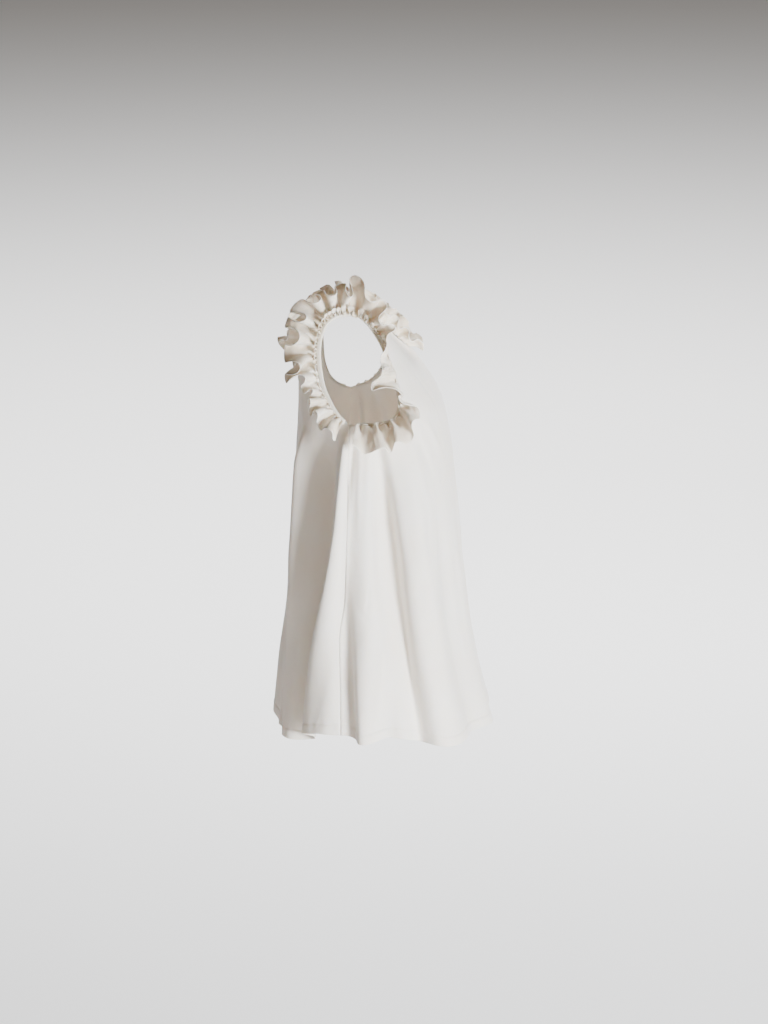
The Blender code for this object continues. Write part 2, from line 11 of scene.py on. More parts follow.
import bpy
import numpy as np
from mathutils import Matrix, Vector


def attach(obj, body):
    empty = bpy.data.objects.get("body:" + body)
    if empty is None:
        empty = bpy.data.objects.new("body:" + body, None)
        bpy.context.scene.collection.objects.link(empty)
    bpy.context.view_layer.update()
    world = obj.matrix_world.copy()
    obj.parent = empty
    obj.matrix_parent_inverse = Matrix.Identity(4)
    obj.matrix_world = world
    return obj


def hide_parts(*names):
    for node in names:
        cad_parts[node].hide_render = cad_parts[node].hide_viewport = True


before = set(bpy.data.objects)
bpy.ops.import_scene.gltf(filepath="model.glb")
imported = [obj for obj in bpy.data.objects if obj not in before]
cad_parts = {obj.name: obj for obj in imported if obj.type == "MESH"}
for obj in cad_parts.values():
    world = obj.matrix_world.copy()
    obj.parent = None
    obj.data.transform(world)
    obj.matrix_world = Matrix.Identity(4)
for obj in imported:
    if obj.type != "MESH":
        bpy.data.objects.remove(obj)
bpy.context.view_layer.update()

# %% [markdown]
# ## The body as a table
# A worn dress has no straight lines, but its cross sections change slowly from the shoulder to the hem. A
# short table of sections is enough, with a monotone cubic between its rows: it never swings past a row's
# value, so the cloth gets no bulges that nobody asked for. Each section is a superellipse, an oval whose
# corners fill up as its power grows. A drop runs down the cloth from the shoulder, and an angle runs round
# it from the left side.

# %% Sections of the body
SECTION_COLUMNS = ("drop", "z", "x_front", "x_side", "x_back", "half_width", "square")
SECTIONS = (
    (0.000, 0.004, -0.0006, 0.000, 0.0006, 0.100, 2.4),
    (0.020, 0.002, -0.028, 0.000, 0.024, 0.101, 2.6),
    (0.040, -0.006, -0.052, 0.000, 0.043, 0.104, 2.8),
    (0.060, -0.020, -0.070, 0.001, 0.062, 0.108, 3.0),
    (0.086, -0.041, -0.084, 0.003, 0.083, 0.115, 3.0),
    (0.115, -0.070, -0.092, 0.008, 0.108, 0.126, 2.9),
    (0.165, -0.120, -0.097, 0.018, 0.145, 0.147, 2.7),
    (0.225, -0.180, -0.099, 0.028, 0.177, 0.173, 2.5),
    (0.315, -0.270, -0.104, 0.038, 0.194, 0.193, 2.3),
    (0.463, -0.418, -0.111, 0.050, 0.211, 0.222, 2.2),
    (0.610, -0.565, -0.119, 0.058, 0.226, 0.245, 2.1),
    (0.730, -0.685, -0.134, 0.063, 0.247, 0.261, 2.1),
    (0.829, -0.784, -0.1425, 0.065, 0.272, 0.272, 2.1),
    (0.880, -0.835, -0.147, 0.066, 0.284, 0.277, 2.1),
)
HEM_DROP = SECTIONS[-2][0]


def smooth(table, column, x):
    """Monotone cubic through a column of a table whose first column rises."""
    xs = np.array([row[0] for row in table], float)
    ys = np.array([row[column] for row in table], float)
    step = np.diff(xs)
    slope = np.diff(ys) / step
    tangent = np.empty_like(ys)
    tangent[0] = slope[0]
    tangent[-1] = slope[-1]
    for i in range(1, len(ys) - 1):
        same_way = slope[i - 1] * slope[i] > 0
        tangent[i] = 2 * slope[i - 1] * slope[i] / (slope[i - 1] + slope[i]) if same_way else 0.0
    x = np.clip(x, xs[0], xs[-1])
    i = np.clip(np.searchsorted(xs, x) - 1, 0, len(step) - 1)
    t = (x - xs[i]) / step[i]
    left = (1 + 2 * t) * (1 - t) ** 2 * ys[i] + t * (1 - t) ** 2 * step[i] * tangent[i]
    right = t * t * (3 - 2 * t) * ys[i + 1] + t * t * (t - 1) * step[i] * tangent[i + 1]
    return left + right


def section(drop):
    """The named sizes of the cross section at a drop."""
    return {name: smooth(SECTIONS, i, drop) for i, name in enumerate(SECTION_COLUMNS)}


print(len(SECTIONS), "sections, hem at a drop of", HEM_DROP, "m")

# %% [markdown]
# ## The long folds
# An A-line skirt has more cloth at the hem than the body needs, and the spare width hangs in folds. They
# could come from a cloth simulation, but then they would fall where the solver likes. Here each fold is one
# row of a table: a soft ridge or trough that starts under the arm or lower, and grows to the hem. The
# deepest one lies in front of the left side seam, where the skirt tucks in beside a rolled edge.

# %% Folds from a table
FOLDS = (  # at_top, at_hem, start, wide_top, wide_hem, out, early: angles and widths in degrees
    (-66, -58, 0.24, 14, 8, 0.006, 0.5),
    (-38, -50, 0.20, 10, 7, -0.034, 0.8),
    (-20, -33, 0.19, 6, 7, 0.012, 0.9),
    (-6, -11, 0.26, 9, 8, 0.012, 0.4),
    (10, 5, 0.28, 9, 10, -0.014, 0.5),
    (24, 34, 0.26, 12, 11, 0.014, 0.5),
    (46, 56, 0.34, 10, 9, -0.012, 0.3),
    (66, 74, 0.40, 9, 8, 0.006, 0.3),
    (92, 94, 0.42, 9, 8, -0.008, 0.2),
    (112, 116, 0.44, 11, 9, 0.008, 0.2),
    (134, 135, 0.42, 11, 9, -0.014, 0.1),
    (152, 154, 0.38, 10, 9, 0.012, 0.2),
    (172, 172, 0.28, 9, 9, -0.012, 0.4),
    (190, 191, 0.28, 9, 8, 0.010, 0.5),
    (207, 209, 0.24, 9, 8, -0.022, 0.6),
    (226, 228, 0.26, 10, 9, 0.010, 0.4),
    (247, 248, 0.34, 10, 9, -0.012, 0.3),
    (268, 270, 0.40, 10, 9, 0.006, 0.2),
)
FOLD_RUN_IN = 0.14  # length over which a fold grows from nothing
UNDER_ARM = 0.234
LEAST_REACH = 0.02  # keeps the slope finite where a section is thin
SMALL_TURN = 0.4  # degrees, for a slope across the cloth
SMALL_DROP = 0.002  # for a slope down the cloth


def wrapped(angle):
    return (angle + 180.0) % 360.0 - 180.0


def ease(x):
    x = np.clip(x, 0.0, 1.0)
    return x * x * (3 - 2 * x)


def fold_offset(angle, drop):
    """How far the long folds move the cloth out."""
    total = np.zeros(np.broadcast(angle, drop).shape)
    down = np.clip((drop - UNDER_ARM) / (HEM_DROP - UNDER_ARM), 0.0, 1.1)
    for at_top, at_hem, start, wide_top, wide_hem, out, early in FOLDS:
        away = wrapped(angle - (at_top + (at_hem - at_top) * down))
        wide = wide_top + (wide_hem - wide_top) * down
        grown = ease((drop - start) / FOLD_RUN_IN) * (early + (1 - early) * down)
        total = total + out * grown * np.exp(-((away / wide) ** 2))
    return total


def body_point(angle, drop):
    """A point of the solid's outer face: angle in degrees from the left side, minus to the front."""
    angle, drop = np.broadcast_arrays(np.asarray(angle, float), np.asarray(drop, float))
    at = section(drop)
    sine = np.sin(np.radians(angle))
    cosine = np.cos(np.radians(angle))
    radius = (np.abs(sine) ** at["square"] + np.abs(cosine) ** at["square"]) ** (-1.0 / at["square"])
    reach = np.where(sine > 0, at["x_back"] - at["x_side"], at["x_side"] - at["x_front"])
    x = at["x_side"] + reach * radius * sine
    y = -at["half_width"] * radius * cosine
    reach = np.maximum(reach, LEAST_REACH)
    out = fold_offset(angle, drop) / np.hypot(sine / reach, cosine / at["half_width"])
    x = x + out * sine / reach
    y = y - out * cosine / at["half_width"]
    return np.stack([x, y, at["z"]], axis=-1)


def unit(vectors):
    return vectors / np.maximum(np.linalg.norm(vectors, axis=-1, keepdims=True), 1e-9)


def body_normal(angle, drop):
    """The outward direction of the solid's face."""
    across = body_point(angle + SMALL_TURN, drop) - body_point(angle - SMALL_TURN, drop)
    low = np.maximum(drop - SMALL_DROP, 0.0)
    return unit(np.cross(body_point(angle, drop + SMALL_DROP) - body_point(angle, low), across))


print(len(FOLDS), "long folds")

# %% [markdown]
# ## Small creases
# Between the long folds a crisp cotton shows small creases: pulls that run out from the underarm, soft
# dents in the skirt and puckers along a seam. Noise alone looks like a rough wall, because real creases
# have a start, an end and a direction. So each is a row of its own, with its two ends on the cloth, its
# width and its height, and only a faint smooth noise is added for the rest.

# %% Creases from a table
CREASES = (  # start and high, the angle and drop of one end, end and low, those of the other, wide, out
    # left side, at the side seam
    (-10, 0.24, -20, 0.42, 0.005, -0.0070),
    (-5, 0.24, -13, 0.46, 0.006, 0.0026),
    (-13, 0.25, -24, 0.52, 0.005, -0.0024),
    (4, 0.25, -2, 0.40, 0.005, -0.0018),
    (9, 0.26, 14, 0.47, 0.008, 0.0026),
    (-4, 0.52, -9, 0.60, 0.004, -0.0016),
    (-1, 0.53, -12, 0.58, 0.003, 0.0014),
    (-14, 0.57, -4, 0.61, 0.003, -0.0014),
    (-17, 0.60, -23, 0.78, 0.006, 0.0018),
    (2, 0.60, -4, 0.80, 0.007, 0.0020),
    (14, 0.55, 18, 0.80, 0.008, -0.0022),
    # left side, behind the armhole
    (27, 0.25, 40, 0.40, 0.010, 0.0030),
    (33, 0.24, 48, 0.36, 0.007, -0.0026),
    (42, 0.22, 62, 0.33, 0.008, 0.0022),
    (38, 0.38, 33, 0.50, 0.009, -0.0026),
    (46, 0.40, 40, 0.54, 0.007, 0.0018),
    (52, 0.14, 66, 0.24, 0.006, -0.0016),
    (46, 0.60, 52, 0.80, 0.008, 0.0020),
    (62, 0.46, 66, 0.70, 0.010, -0.0020),
    # front
    (-52, 0.25, -56, 0.44, 0.008, 0.0024),
    (-60, 0.24, -74, 0.38, 0.009, -0.0020),
    (-72, 0.40, -68, 0.62, 0.010, 0.0022),
    (-84, 0.20, -95, 0.36, 0.009, -0.0016),
    (-88, 0.52, -84, 0.78, 0.010, -0.0022),
    (-100, 0.44, -104, 0.74, 0.011, 0.0024),
    (-112, 0.26, -122, 0.42, 0.009, -0.0022),
    (-126, 0.24, -134, 0.44, 0.007, 0.0022),
    (-120, 0.56, -116, 0.79, 0.010, -0.0020),
    (-138, 0.50, -140, 0.76, 0.009, 0.0020),
    # right side and back
    (186, 0.25, 194, 0.48, 0.006, 0.0022),
    (176, 0.25, 168, 0.44, 0.006, -0.0022),
    (196, 0.26, 203, 0.40, 0.005, 0.0018),
    (183, 0.54, 189, 0.62, 0.004, -0.0016),
    (166, 0.58, 163, 0.80, 0.008, 0.0020),
    (150, 0.24, 138, 0.38, 0.009, 0.0028),
    (144, 0.22, 128, 0.32, 0.007, -0.0022),
    (120, 0.30, 124, 0.50, 0.010, -0.0020),
    (104, 0.50, 100, 0.76, 0.010, 0.0020),
    (84, 0.34, 80, 0.56, 0.011, 0.0018),
    (76, 0.20, 70, 0.34, 0.009, 0.0016),
    (96, 0.18, 110, 0.27, 0.009, -0.0014),
    (142, 0.56, 146, 0.80, 0.009, -0.0020),
    (128, 0.60, 126, 0.80, 0.008, 0.0018),
)
NOISE_SEED = 5
NOISE_CELLS = ((26, 9, 0.0011), (52, 20, 0.0006), (120, 46, 0.00025))  # cells round, cells down, height
NOISE_DROP = 0.9  # the drop over which the cells down are spread
NOISE_FADE = 0.12  # the noise grows from nothing over this drop
CREASE_RISE = 0.35  # shares of a crease over which it rises and fades
CREASE_FADE = 0.5


def metres_a_degree(drop):
    at = section(drop)
    mean = 0.5 * at["half_width"] + 0.25 * (at["x_back"] - at["x_front"])
    return np.radians(1.0) * mean


def creases(angle, drop):
    """How far the small creases move the cloth out."""
    total = np.zeros(np.broadcast(angle, drop).shape)
    scale = metres_a_degree(drop)
    for start, high, end, low, wide, out in CREASES:
        across = wrapped(angle - start) * scale
        run = np.array([(end - start) * float(metres_a_degree(0.5 * (high + low))), low - high])
        length = np.linalg.norm(run)
        run = run / length
        t = (across * run[0] + (drop - high) * run[1]) / length
        off = across * run[1] - (drop - high) * run[0]
        window = ease(t / CREASE_RISE) * ease((1 - t) / CREASE_FADE)
        total = total + out * window * np.exp(-((off / wide) ** 2))
    return total


def value_noise(u, v, cells_u, cells_v, chance):
    """Smooth noise on a grid that closes on itself along u. u and v run from 0 to 1."""
    grid = chance.uniform(-1.0, 1.0, (cells_v + 2, cells_u))
    x = np.mod(u, 1.0) * cells_u
    y = np.clip(v, 0.0, 1.0) * cells_v
    i, j = np.floor(x).astype(int), np.floor(y).astype(int)
    a, b = ease(x - i), ease(y - j)
    i, right = i % cells_u, (i + 1) % cells_u
    low = grid[j, i] * (1 - a) + grid[j, right] * a
    high = grid[j + 1, i] * (1 - a) + grid[j + 1, right] * a
    return low * (1 - b) + high * b


def cloth_noise(angle, drop):
    chance = np.random.default_rng(NOISE_SEED)
    total = np.zeros(np.broadcast(angle, drop).shape)
    for cells_u, cells_v, height in NOISE_CELLS:
        total = total + height * value_noise(angle / 360.0, drop / NOISE_DROP, cells_u, cells_v, chance)
    return total * ease(drop / NOISE_FADE)


print(len(CREASES), "creases placed by hand")

# %% [markdown]
# ## Rolled edges and soft valleys
# Some folds are neither straight nor even: one side falls off like a rolled edge and the other runs out
# flat. A single bell curve can't say that. So each of these has a path down the skirt, with its own width
# before and after its crest at every drop. The first is the rolled edge beside the deep fold, and the rest
# are the soft valleys and ridges that the skirt shows beside it and at the hip, with others like them on
# the hidden sides.

# %% Rolls from tables
ROLL_COLUMNS = ("drop", "angle", "before", "after", "out")
ROLLS = (
    (  # the rolled edge in front of the left seam
        (0.230, -13, 0.004, 0.012, 0.000),
        (0.275, -18, 0.005, 0.013, 0.008),
        (0.350, -21, 0.005, 0.012, 0.014),
        (0.440, -24, 0.005, 0.014, 0.018),
        (0.540, -28.5, 0.005, 0.016, 0.022),
        (0.650, -35, 0.006, 0.018, 0.026),
        (0.760, -41, 0.006, 0.020, 0.024),
        (0.880, -45, 0.006, 0.022, 0.018),
    ),
    (  # the deep hollow that it hangs over
        (0.240, -24, 0.016, 0.010, 0.000),
        (0.300, -31, 0.022, 0.012, -0.014),
        (0.420, -35, 0.026, 0.012, -0.020),
        (0.560, -42, 0.028, 0.012, -0.018),
        (0.700, -50, 0.026, 0.012, -0.012),
        (0.880, -53, 0.024, 0.012, -0.010),
    ),
    (  # the shaded hollow at the front of the hem
        (0.540, -74, 0.018, 0.014, 0.000),
        (0.660, -73, 0.018, 0.013, -0.010),
        (0.880, -70, 0.018, 0.012, -0.017),
    ),
    (  # the pale ridge at the front edge
        (0.250, -58, 0.012, 0.010, 0.000),
        (0.330, -59, 0.014, 0.012, 0.017),
        (0.560, -61, 0.016, 0.013, 0.020),
        (0.680, -65, 0.016, 0.012, 0.009),
        (0.880, -66, 0.016, 0.014, 0.000),
    ),
    (  # the hollow behind the seam
        (0.460, -23, 0.012, 0.010, 0.000),
        (0.600, -21, 0.018, 0.012, -0.010),
        (0.740, -19, 0.022, 0.013, -0.016),
        (0.880, -16, 0.022, 0.014, -0.016),
    ),
    (  # the long valley under the armhole
        (0.238, 7, 0.010, 0.006, 0.000),
        (0.285, 8.5, 0.016, 0.008, -0.014),
        (0.340, 9.5, 0.022, 0.011, -0.023),
        (0.420, 10, 0.028, 0.014, -0.030),
        (0.520, 11, 0.032, 0.020, -0.035),
        (0.640, 14, 0.030, 0.022, -0.035),
        (0.760, 18, 0.026, 0.023, -0.034),
        (0.880, 21, 0.024, 0.023, -0.032),
    ),
    (  # the full side behind it
        (0.260, 24, 0.012, 0.030, 0.000),
        (0.340, 27, 0.014, 0.034, 0.003),
        (0.520, 33, 0.022, 0.036, 0.004),
        (0.880, 44, 0.026, 0.036, 0.004),
    ),
    (  # the front, left of the middle
        (0.300, -84, 0.020, 0.012, 0.000),
        (0.420, -86, 0.022, 0.012, -0.006),
        (0.640, -84, 0.024, 0.014, -0.008),
        (0.880, -80, 0.024, 0.016, -0.007),
    ),
    (  # the front, right of the middle
        (0.280, -108, 0.012, 0.022, 0.000),
        (0.420, -112, 0.012, 0.024, 0.005),
        (0.640, -110, 0.014, 0.026, 0.007),
        (0.880, -106, 0.014, 0.026, 0.006),
    ),
    (  # inside the far armhole, seen through the near one
        (0.238, 173, 0.010, 0.010, 0.000),
        (0.280, 173, 0.010, 0.012, 0.014),
        (0.400, 168, 0.014, 0.016, 0.010),
        (0.600, 165, 0.014, 0.016, 0.000),
    ),
    (  # the hollow beside it
        (0.238, 188, 0.008, 0.010, 0.000),
        (0.280, 188, 0.007, 0.012, -0.014),
        (0.400, 190, 0.010, 0.016, -0.011),
        (0.600, 192, 0.012, 0.018, 0.000),
    ),
    (  # the right side
        (0.270, 198, 0.016, 0.007, 0.000),
        (0.400, 202, 0.018, 0.008, 0.008),
        (0.640, 209, 0.020, 0.009, 0.010),
        (0.880, 213, 0.020, 0.010, 0.008),
    ),
    (  # the back, left of the middle
        (0.320, 82, 0.020, 0.012, 0.000),
        (0.460, 80, 0.022, 0.012, -0.006),
        (0.660, 82, 0.024, 0.014, -0.008),
        (0.880, 86, 0.024, 0.016, -0.007),
    ),
    (  # the back, right of the middle
        (0.300, 120, 0.012, 0.020, 0.000),
        (0.440, 118, 0.012, 0.022, 0.005),
        (0.660, 121, 0.013, 0.024, 0.007),
        (0.880, 124, 0.013, 0.024, 0.006),
    ),
)


def rolls(angle, drop):
    """How far the rolled edges and valleys move the cloth out."""
    total = np.zeros(np.broadcast(angle, drop).shape)
    for table in ROLLS:
        centre, before, after, out = (smooth(table, i, drop) for i in range(1, len(ROLL_COLUMNS)))
        off = wrapped(angle - centre) * metres_a_degree(drop)
        total = total + out * np.exp(-((off / np.where(off < 0, before, after)) ** 2))
    return total


print(len(ROLLS), "rolled edges and valleys")

# %% [markdown]
# ## Seams and edges
# The cut has three kinds of edge: the side seams, the armholes and the neckline. Each is a line on the
# body, given as drop and place. The left armhole has sagged to the back, as it does on a loose dress, so
# that its two halves differ. The lines are the same as in the solid model, which keeps the cloth where the
# solids are. Only the hem is a little shorter than there, under the rolled edge.

# %% Edge lines
SIDE_SEAM = ((0.234, 0.000), (0.400, -0.002), (0.560, -0.008), (0.640, -0.017), (0.880, -0.019))
LEFT_ARMHOLE_FRONT = (
    (0.020, -0.019), (0.045, -0.040), (0.075, -0.052), (0.105, -0.057),
    (0.163, -0.050), (0.195, -0.036), (0.220, -0.018),
)
LEFT_ARMHOLE_BACK = (
    (0.020, 0.016), (0.045, 0.031), (0.070, 0.046), (0.092, 0.058), (0.117, 0.068),
    (0.182, 0.090), (0.208, 0.092), (0.224, 0.082), (0.231, 0.062), (0.2325, 0.040), (0.2335, 0.018),
)
RIGHT_ARMHOLE_FRONT = (
    (0.020, -0.019), (0.045, -0.038), (0.075, -0.050), (0.105, -0.054),
    (0.165, -0.052), (0.203, -0.042), (0.226, -0.022),
)
RIGHT_ARMHOLE_BACK = (
    (0.020, 0.016), (0.045, 0.031), (0.070, 0.046), (0.092, 0.056),
    (0.117, 0.062), (0.166, 0.066), (0.203, 0.054), (0.226, 0.028),
)
STRAP_OUTER_ANGLE = 38.0
NECK_FRONT = ((58.0, 0.000), (62.0, 0.036), (70.0, 0.074), (80.0, 0.098), (90.0, 0.105))
NECK_BACK = ((58.0, 0.000), (62.0, 0.040), (70.0, 0.080), (80.0, 0.106), (90.0, 0.113))
HEM = (
    (-180, 0.822), (-150, 0.826), (-120, 0.820), (-95, 0.828), (-75, 0.846), (-55, 0.855), (-42, 0.830),
    (-32, 0.818), (-22, 0.818), (-11, 0.830), (3, 0.820), (20, 0.832), (34, 0.842), (55, 0.838),
    (90, 0.836), (120, 0.828), (150, 0.832), (180, 0.822),
)
SEAM_GAP = 0.0003
EDGE_STEPS = 60  # steps along half an armhole or half the neck
NEARLY_ALL = 0.999  # keeps the angle defined where x is at a section's end


def angle_at(x, drop):
    """The angle from the left side at which the section reaches x."""
    at = section(np.asarray(drop, float))
    reach = np.where(x > at["x_side"], at["x_back"] - at["x_side"], at["x_side"] - at["x_front"])
    share = np.clip((x - at["x_side"]) / reach, -NEARLY_ALL, NEARLY_ALL)
    other = (1 - np.abs(share) ** at["square"]) ** (1 / at["square"])
    return np.degrees(np.arctan2(share, other))


def spans(points):
    """The distances between neighbouring points of a line."""
    return np.linalg.norm(np.diff(points, axis=0), axis=1)


def resampled(line, count):
    """count + 1 points evenly spaced in space along a line of (angle, drop) points."""
    line = np.asarray(line, float)
    length = spans(body_point(line[:, 0], line[:, 1]))
    along = np.concatenate([[0.0], np.cumsum(length)])
    table = np.column_stack([along, line])
    at = np.linspace(0.0, along[-1], count + 1)
    return np.column_stack([smooth(table, 1, at), smooth(table, 2, at)])


def armhole_edge(table, sign, count):
    """Half an armhole's edge, from the shoulder line to the side seam."""
    seam_drop, seam_x = SIDE_SEAM[0]
    rows = [(sign * STRAP_OUTER_ANGLE, 0.0)]
    rows += [(float(angle_at(x, drop)), drop) for drop, x in table]
    rows.append((float(angle_at(seam_x, seam_drop)), seam_drop))
    return resampled(rows, count)


def hem_drop(angle):
    return smooth(HEM, 1, wrapped(np.asarray(angle)))


def mirrored(line, sign):
    """The same line on the wearer's right."""
    return np.column_stack([sign * 180.0 - line[:, 0], line[:, 1]])


edge_length = spans(body_point(*armhole_edge(LEFT_ARMHOLE_BACK, 1, EDGE_STEPS).T)).sum()
print("back half of the left armhole:", round(float(edge_length), 3), "m")

# %% [markdown]
# ## From a grid to a piece of cloth
# Every piece here is a grid of points, rows down and columns across, with a thin wall. The mesh carries its
# own UV map in metres of cloth, so a weave keeps its size and follows the folds, whatever the shape.
# Solidify gives the wall. Its even offset stays off, because it would throw out spikes where a fold is
# tight.

# %% Helpers for meshes
def cloth_uv(points):
    """Lengths along the rows and columns of a grid, in metres."""
    across = np.linalg.norm(np.diff(points, axis=1), axis=2)
    down = np.linalg.norm(np.diff(points, axis=0), axis=2)
    u = np.concatenate([np.zeros((len(points), 1)), np.cumsum(across, axis=1)], axis=1)
    u = u - u[:, u.shape[1] // 2][:, None]
    v = np.concatenate([np.zeros((1, points.shape[1])), np.cumsum(down, axis=0)], axis=0)
    return np.stack([u, v], axis=-1)


def grid_piece(name, points, material, wall, inward, ring=False):
    """A piece of cloth on a grid of points. inward is the share of the wall that lies behind the points."""
    if ring:
        points = np.concatenate([points, points[:, :1]], axis=1)
    rows, columns = points.shape[:2]
    uv = cloth_uv(points).reshape(-1, 2)
    index = np.arange(rows * columns).reshape(rows, columns)
    if ring:
        index[:, -1] = index[:, 0]
    corners = np.stack([index[:-1, :-1], index[1:, :-1], index[1:, 1:], index[:-1, 1:]], axis=-1)
    plain = np.arange(rows * columns).reshape(rows, columns)
    uv_corners = np.stack([plain[:-1, :-1], plain[1:, :-1], plain[1:, 1:], plain[:-1, 1:]], axis=-1)
    mesh = bpy.data.meshes.new(name)
    used = np.unique(corners)
    small = np.zeros(rows * columns, int)
    small[used] = np.arange(len(used))
    flat = points.reshape(-1, 3)[used]
    mesh.from_pydata(flat.tolist(), [], small[corners.reshape(-1, 4)].tolist())
    layer = mesh.uv_layers.new(name="cloth")
    layer.data.foreach_set("uv", uv[uv_corners.reshape(-1)].astype(np.float32).ravel())
    mesh.polygons.foreach_set("use_smooth", [True] * len(mesh.polygons))
    mesh.materials.append(material)
    piece = bpy.data.objects.new(name, mesh)
    bpy.context.scene.collection.objects.link(piece)
    solidify = piece.modifiers.new("wall", "SOLIDIFY")
    solidify.thickness = wall
    solidify.offset = 1.0 - 2.0 * inward
    solidify.use_even_offset = False
    return piece


def stand_in(piece, node):
    """The piece takes its solid's place, on the only body."""
    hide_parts(node)
    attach(piece, "root")


def cloth_area(points):
    """Area of a grid in square metres."""
    a = points[1:, :-1] - points[:-1, :-1]
    b = points[:-1, 1:] - points[:-1, :-1]
    return float(np.linalg.norm(np.cross(a, b), axis=-1).sum())


# %% [markdown]
# ## The weave as a node group
# Crisp cotton has a plain weave, over one and under one, with threads about 0.4 mm apart. It could be a
# picture, but two crossed waves give the same thing at any distance. The group below is built once and used
# in each cloth material. It puts out a height for the bump and a mask that says where threads are thicker
# or paler, because cotton yarn is never even.

# %% Weave node group
THREADS = 2600.0  # a metre


def new_group(name, inputs, outputs):
    group = bpy.data.node_groups.new(name, "ShaderNodeTree")
    for label, kind, value in inputs:
        socket = group.interface.new_socket(label, in_out="INPUT", socket_type=kind)
        if value is not None:
            socket.default_value = value
    for label, kind in outputs:
        group.interface.new_socket(label, in_out="OUTPUT", socket_type=kind)
    return group


def add_node(tree, kind, **settings):
    node = tree.nodes.new(kind)
    for name, value in settings.items():
        setattr(node, name, value)
    return node


def maths(tree, operation, a, b=None, c=None):
    """A Math node on sockets or numbers, and its output."""
    node = add_node(tree, "ShaderNodeMath", operation=operation)
    for socket, value in zip(node.inputs, (a, b, c)):
        if value is None:
            continue
        if isinstance(value, (int, float)):
            socket.default_value = value
        else:
            tree.links.new(value, socket)
    return node.outputs[0]


def build_weave():
    group = new_group(
        "plain weave",
        [("Vector", "NodeSocketVector", None), ("Threads", "NodeSocketFloat", THREADS)],
        [("Height", "NodeSocketFloat"), ("Slub", "NodeSocketFloat")],
    )
    start = add_node(group, "NodeGroupInput")
    end = add_node(group, "NodeGroupOutput")
    split = add_node(group, "ShaderNodeSeparateXYZ")
    group.links.new(start.outputs["Vector"], split.inputs[0])
    along = maths(group, "MULTIPLY", split.outputs["X"], start.outputs["Threads"])
    down = maths(group, "MULTIPLY", split.outputs["Y"], start.outputs["Threads"])
    warp = maths(group, "SINE", maths(group, "MULTIPLY", along, math.pi))
    weft = maths(group, "SINE", maths(group, "MULTIPLY", down, math.pi))
    crossing = maths(group, "MULTIPLY", warp, weft)
    ridges = maths(group, "MAXIMUM", maths(group, "ABSOLUTE", warp), maths(group, "ABSOLUTE", weft))
    height = maths(group, "MULTIPLY_ADD", crossing, 0.35, maths(group, "MULTIPLY", ridges, 0.65))
    stretch = add_node(group, "ShaderNodeVectorMath", operation="MULTIPLY")
    stretch.inputs[1].default_value = (900.0, 14.0, 1.0)
    group.links.new(start.outputs["Vector"], stretch.inputs[0])
    yarn = add_node(group, "ShaderNodeTexNoise")
    yarn.inputs["Scale"].default_value = 1.0
    yarn.inputs["Detail"].default_value = 2.0
    group.links.new(stretch.outputs[0], yarn.inputs["Vector"])
    group.links.new(maths(group, "MULTIPLY_ADD", yarn.outputs[0], 0.5, height), end.inputs["Height"])
    group.links.new(yarn.outputs[0], end.inputs["Slub"])
    return group


weave = build_weave()

# %% [markdown]
# ## The soft tone of worn cotton
# Washed cream cotton isn't one colour. It is a little warmer in random patches. A second group mixes
# two noises of different size in Object coordinates, so the patches stay where they are when the camera
# moves. On the ruffles the colours given to it are darker and the patches deeper: there they are painted
# shade.

# %% Tone node group
def build_tone():
    group = new_group(
        "cotton tone",
        [
            ("Vector", "NodeSocketVector", None),
            ("Pale", "NodeSocketColor", (0.84, 0.81, 0.755, 1.0)),
            ("Warm", "NodeSocketColor", (0.80, 0.755, 0.68, 1.0)),
            ("Patch Scale", "NodeSocketFloat", 7.0),
        ],
        [("Color", "NodeSocketColor"), ("Crumple", "NodeSocketFloat")],
    )
    start = add_node(group, "NodeGroupInput")
    end = add_node(group, "NodeGroupOutput")
    patches = add_node(group, "ShaderNodeTexNoise")
    patches.inputs["Detail"].default_value = 3.0
    patches.inputs["Roughness"].default_value = 0.55
    group.links.new(start.outputs["Vector"], patches.inputs["Vector"])
    group.links.new(start.outputs["Patch Scale"], patches.inputs["Scale"])
    share = add_node(group, "ShaderNodeMapRange")
    share.inputs["From Min"].default_value = 0.35
    share.inputs["From Max"].default_value = 0.65
    group.links.new(patches.outputs[0], share.inputs["Value"])
    mix = add_node(group, "ShaderNodeMix", data_type="RGBA")
    group.links.new(share.outputs[0], mix.inputs[0])
    group.links.new(start.outputs["Pale"], mix.inputs[6])
    group.links.new(start.outputs["Warm"], mix.inputs[7])
    crumple = add_node(group, "ShaderNodeTexNoise")
    crumple.inputs["Scale"].default_value = 55.0
    crumple.inputs["Detail"].default_value = 4.0
    crumple.inputs["Distortion"].default_value = 0.6
    group.links.new(start.outputs["Vector"], crumple.inputs["Vector"])
    group.links.new(mix.outputs[2], end.inputs["Color"])
    group.links.new(crumple.outputs[0], end.inputs["Crumple"])
    return group


tone = build_tone()


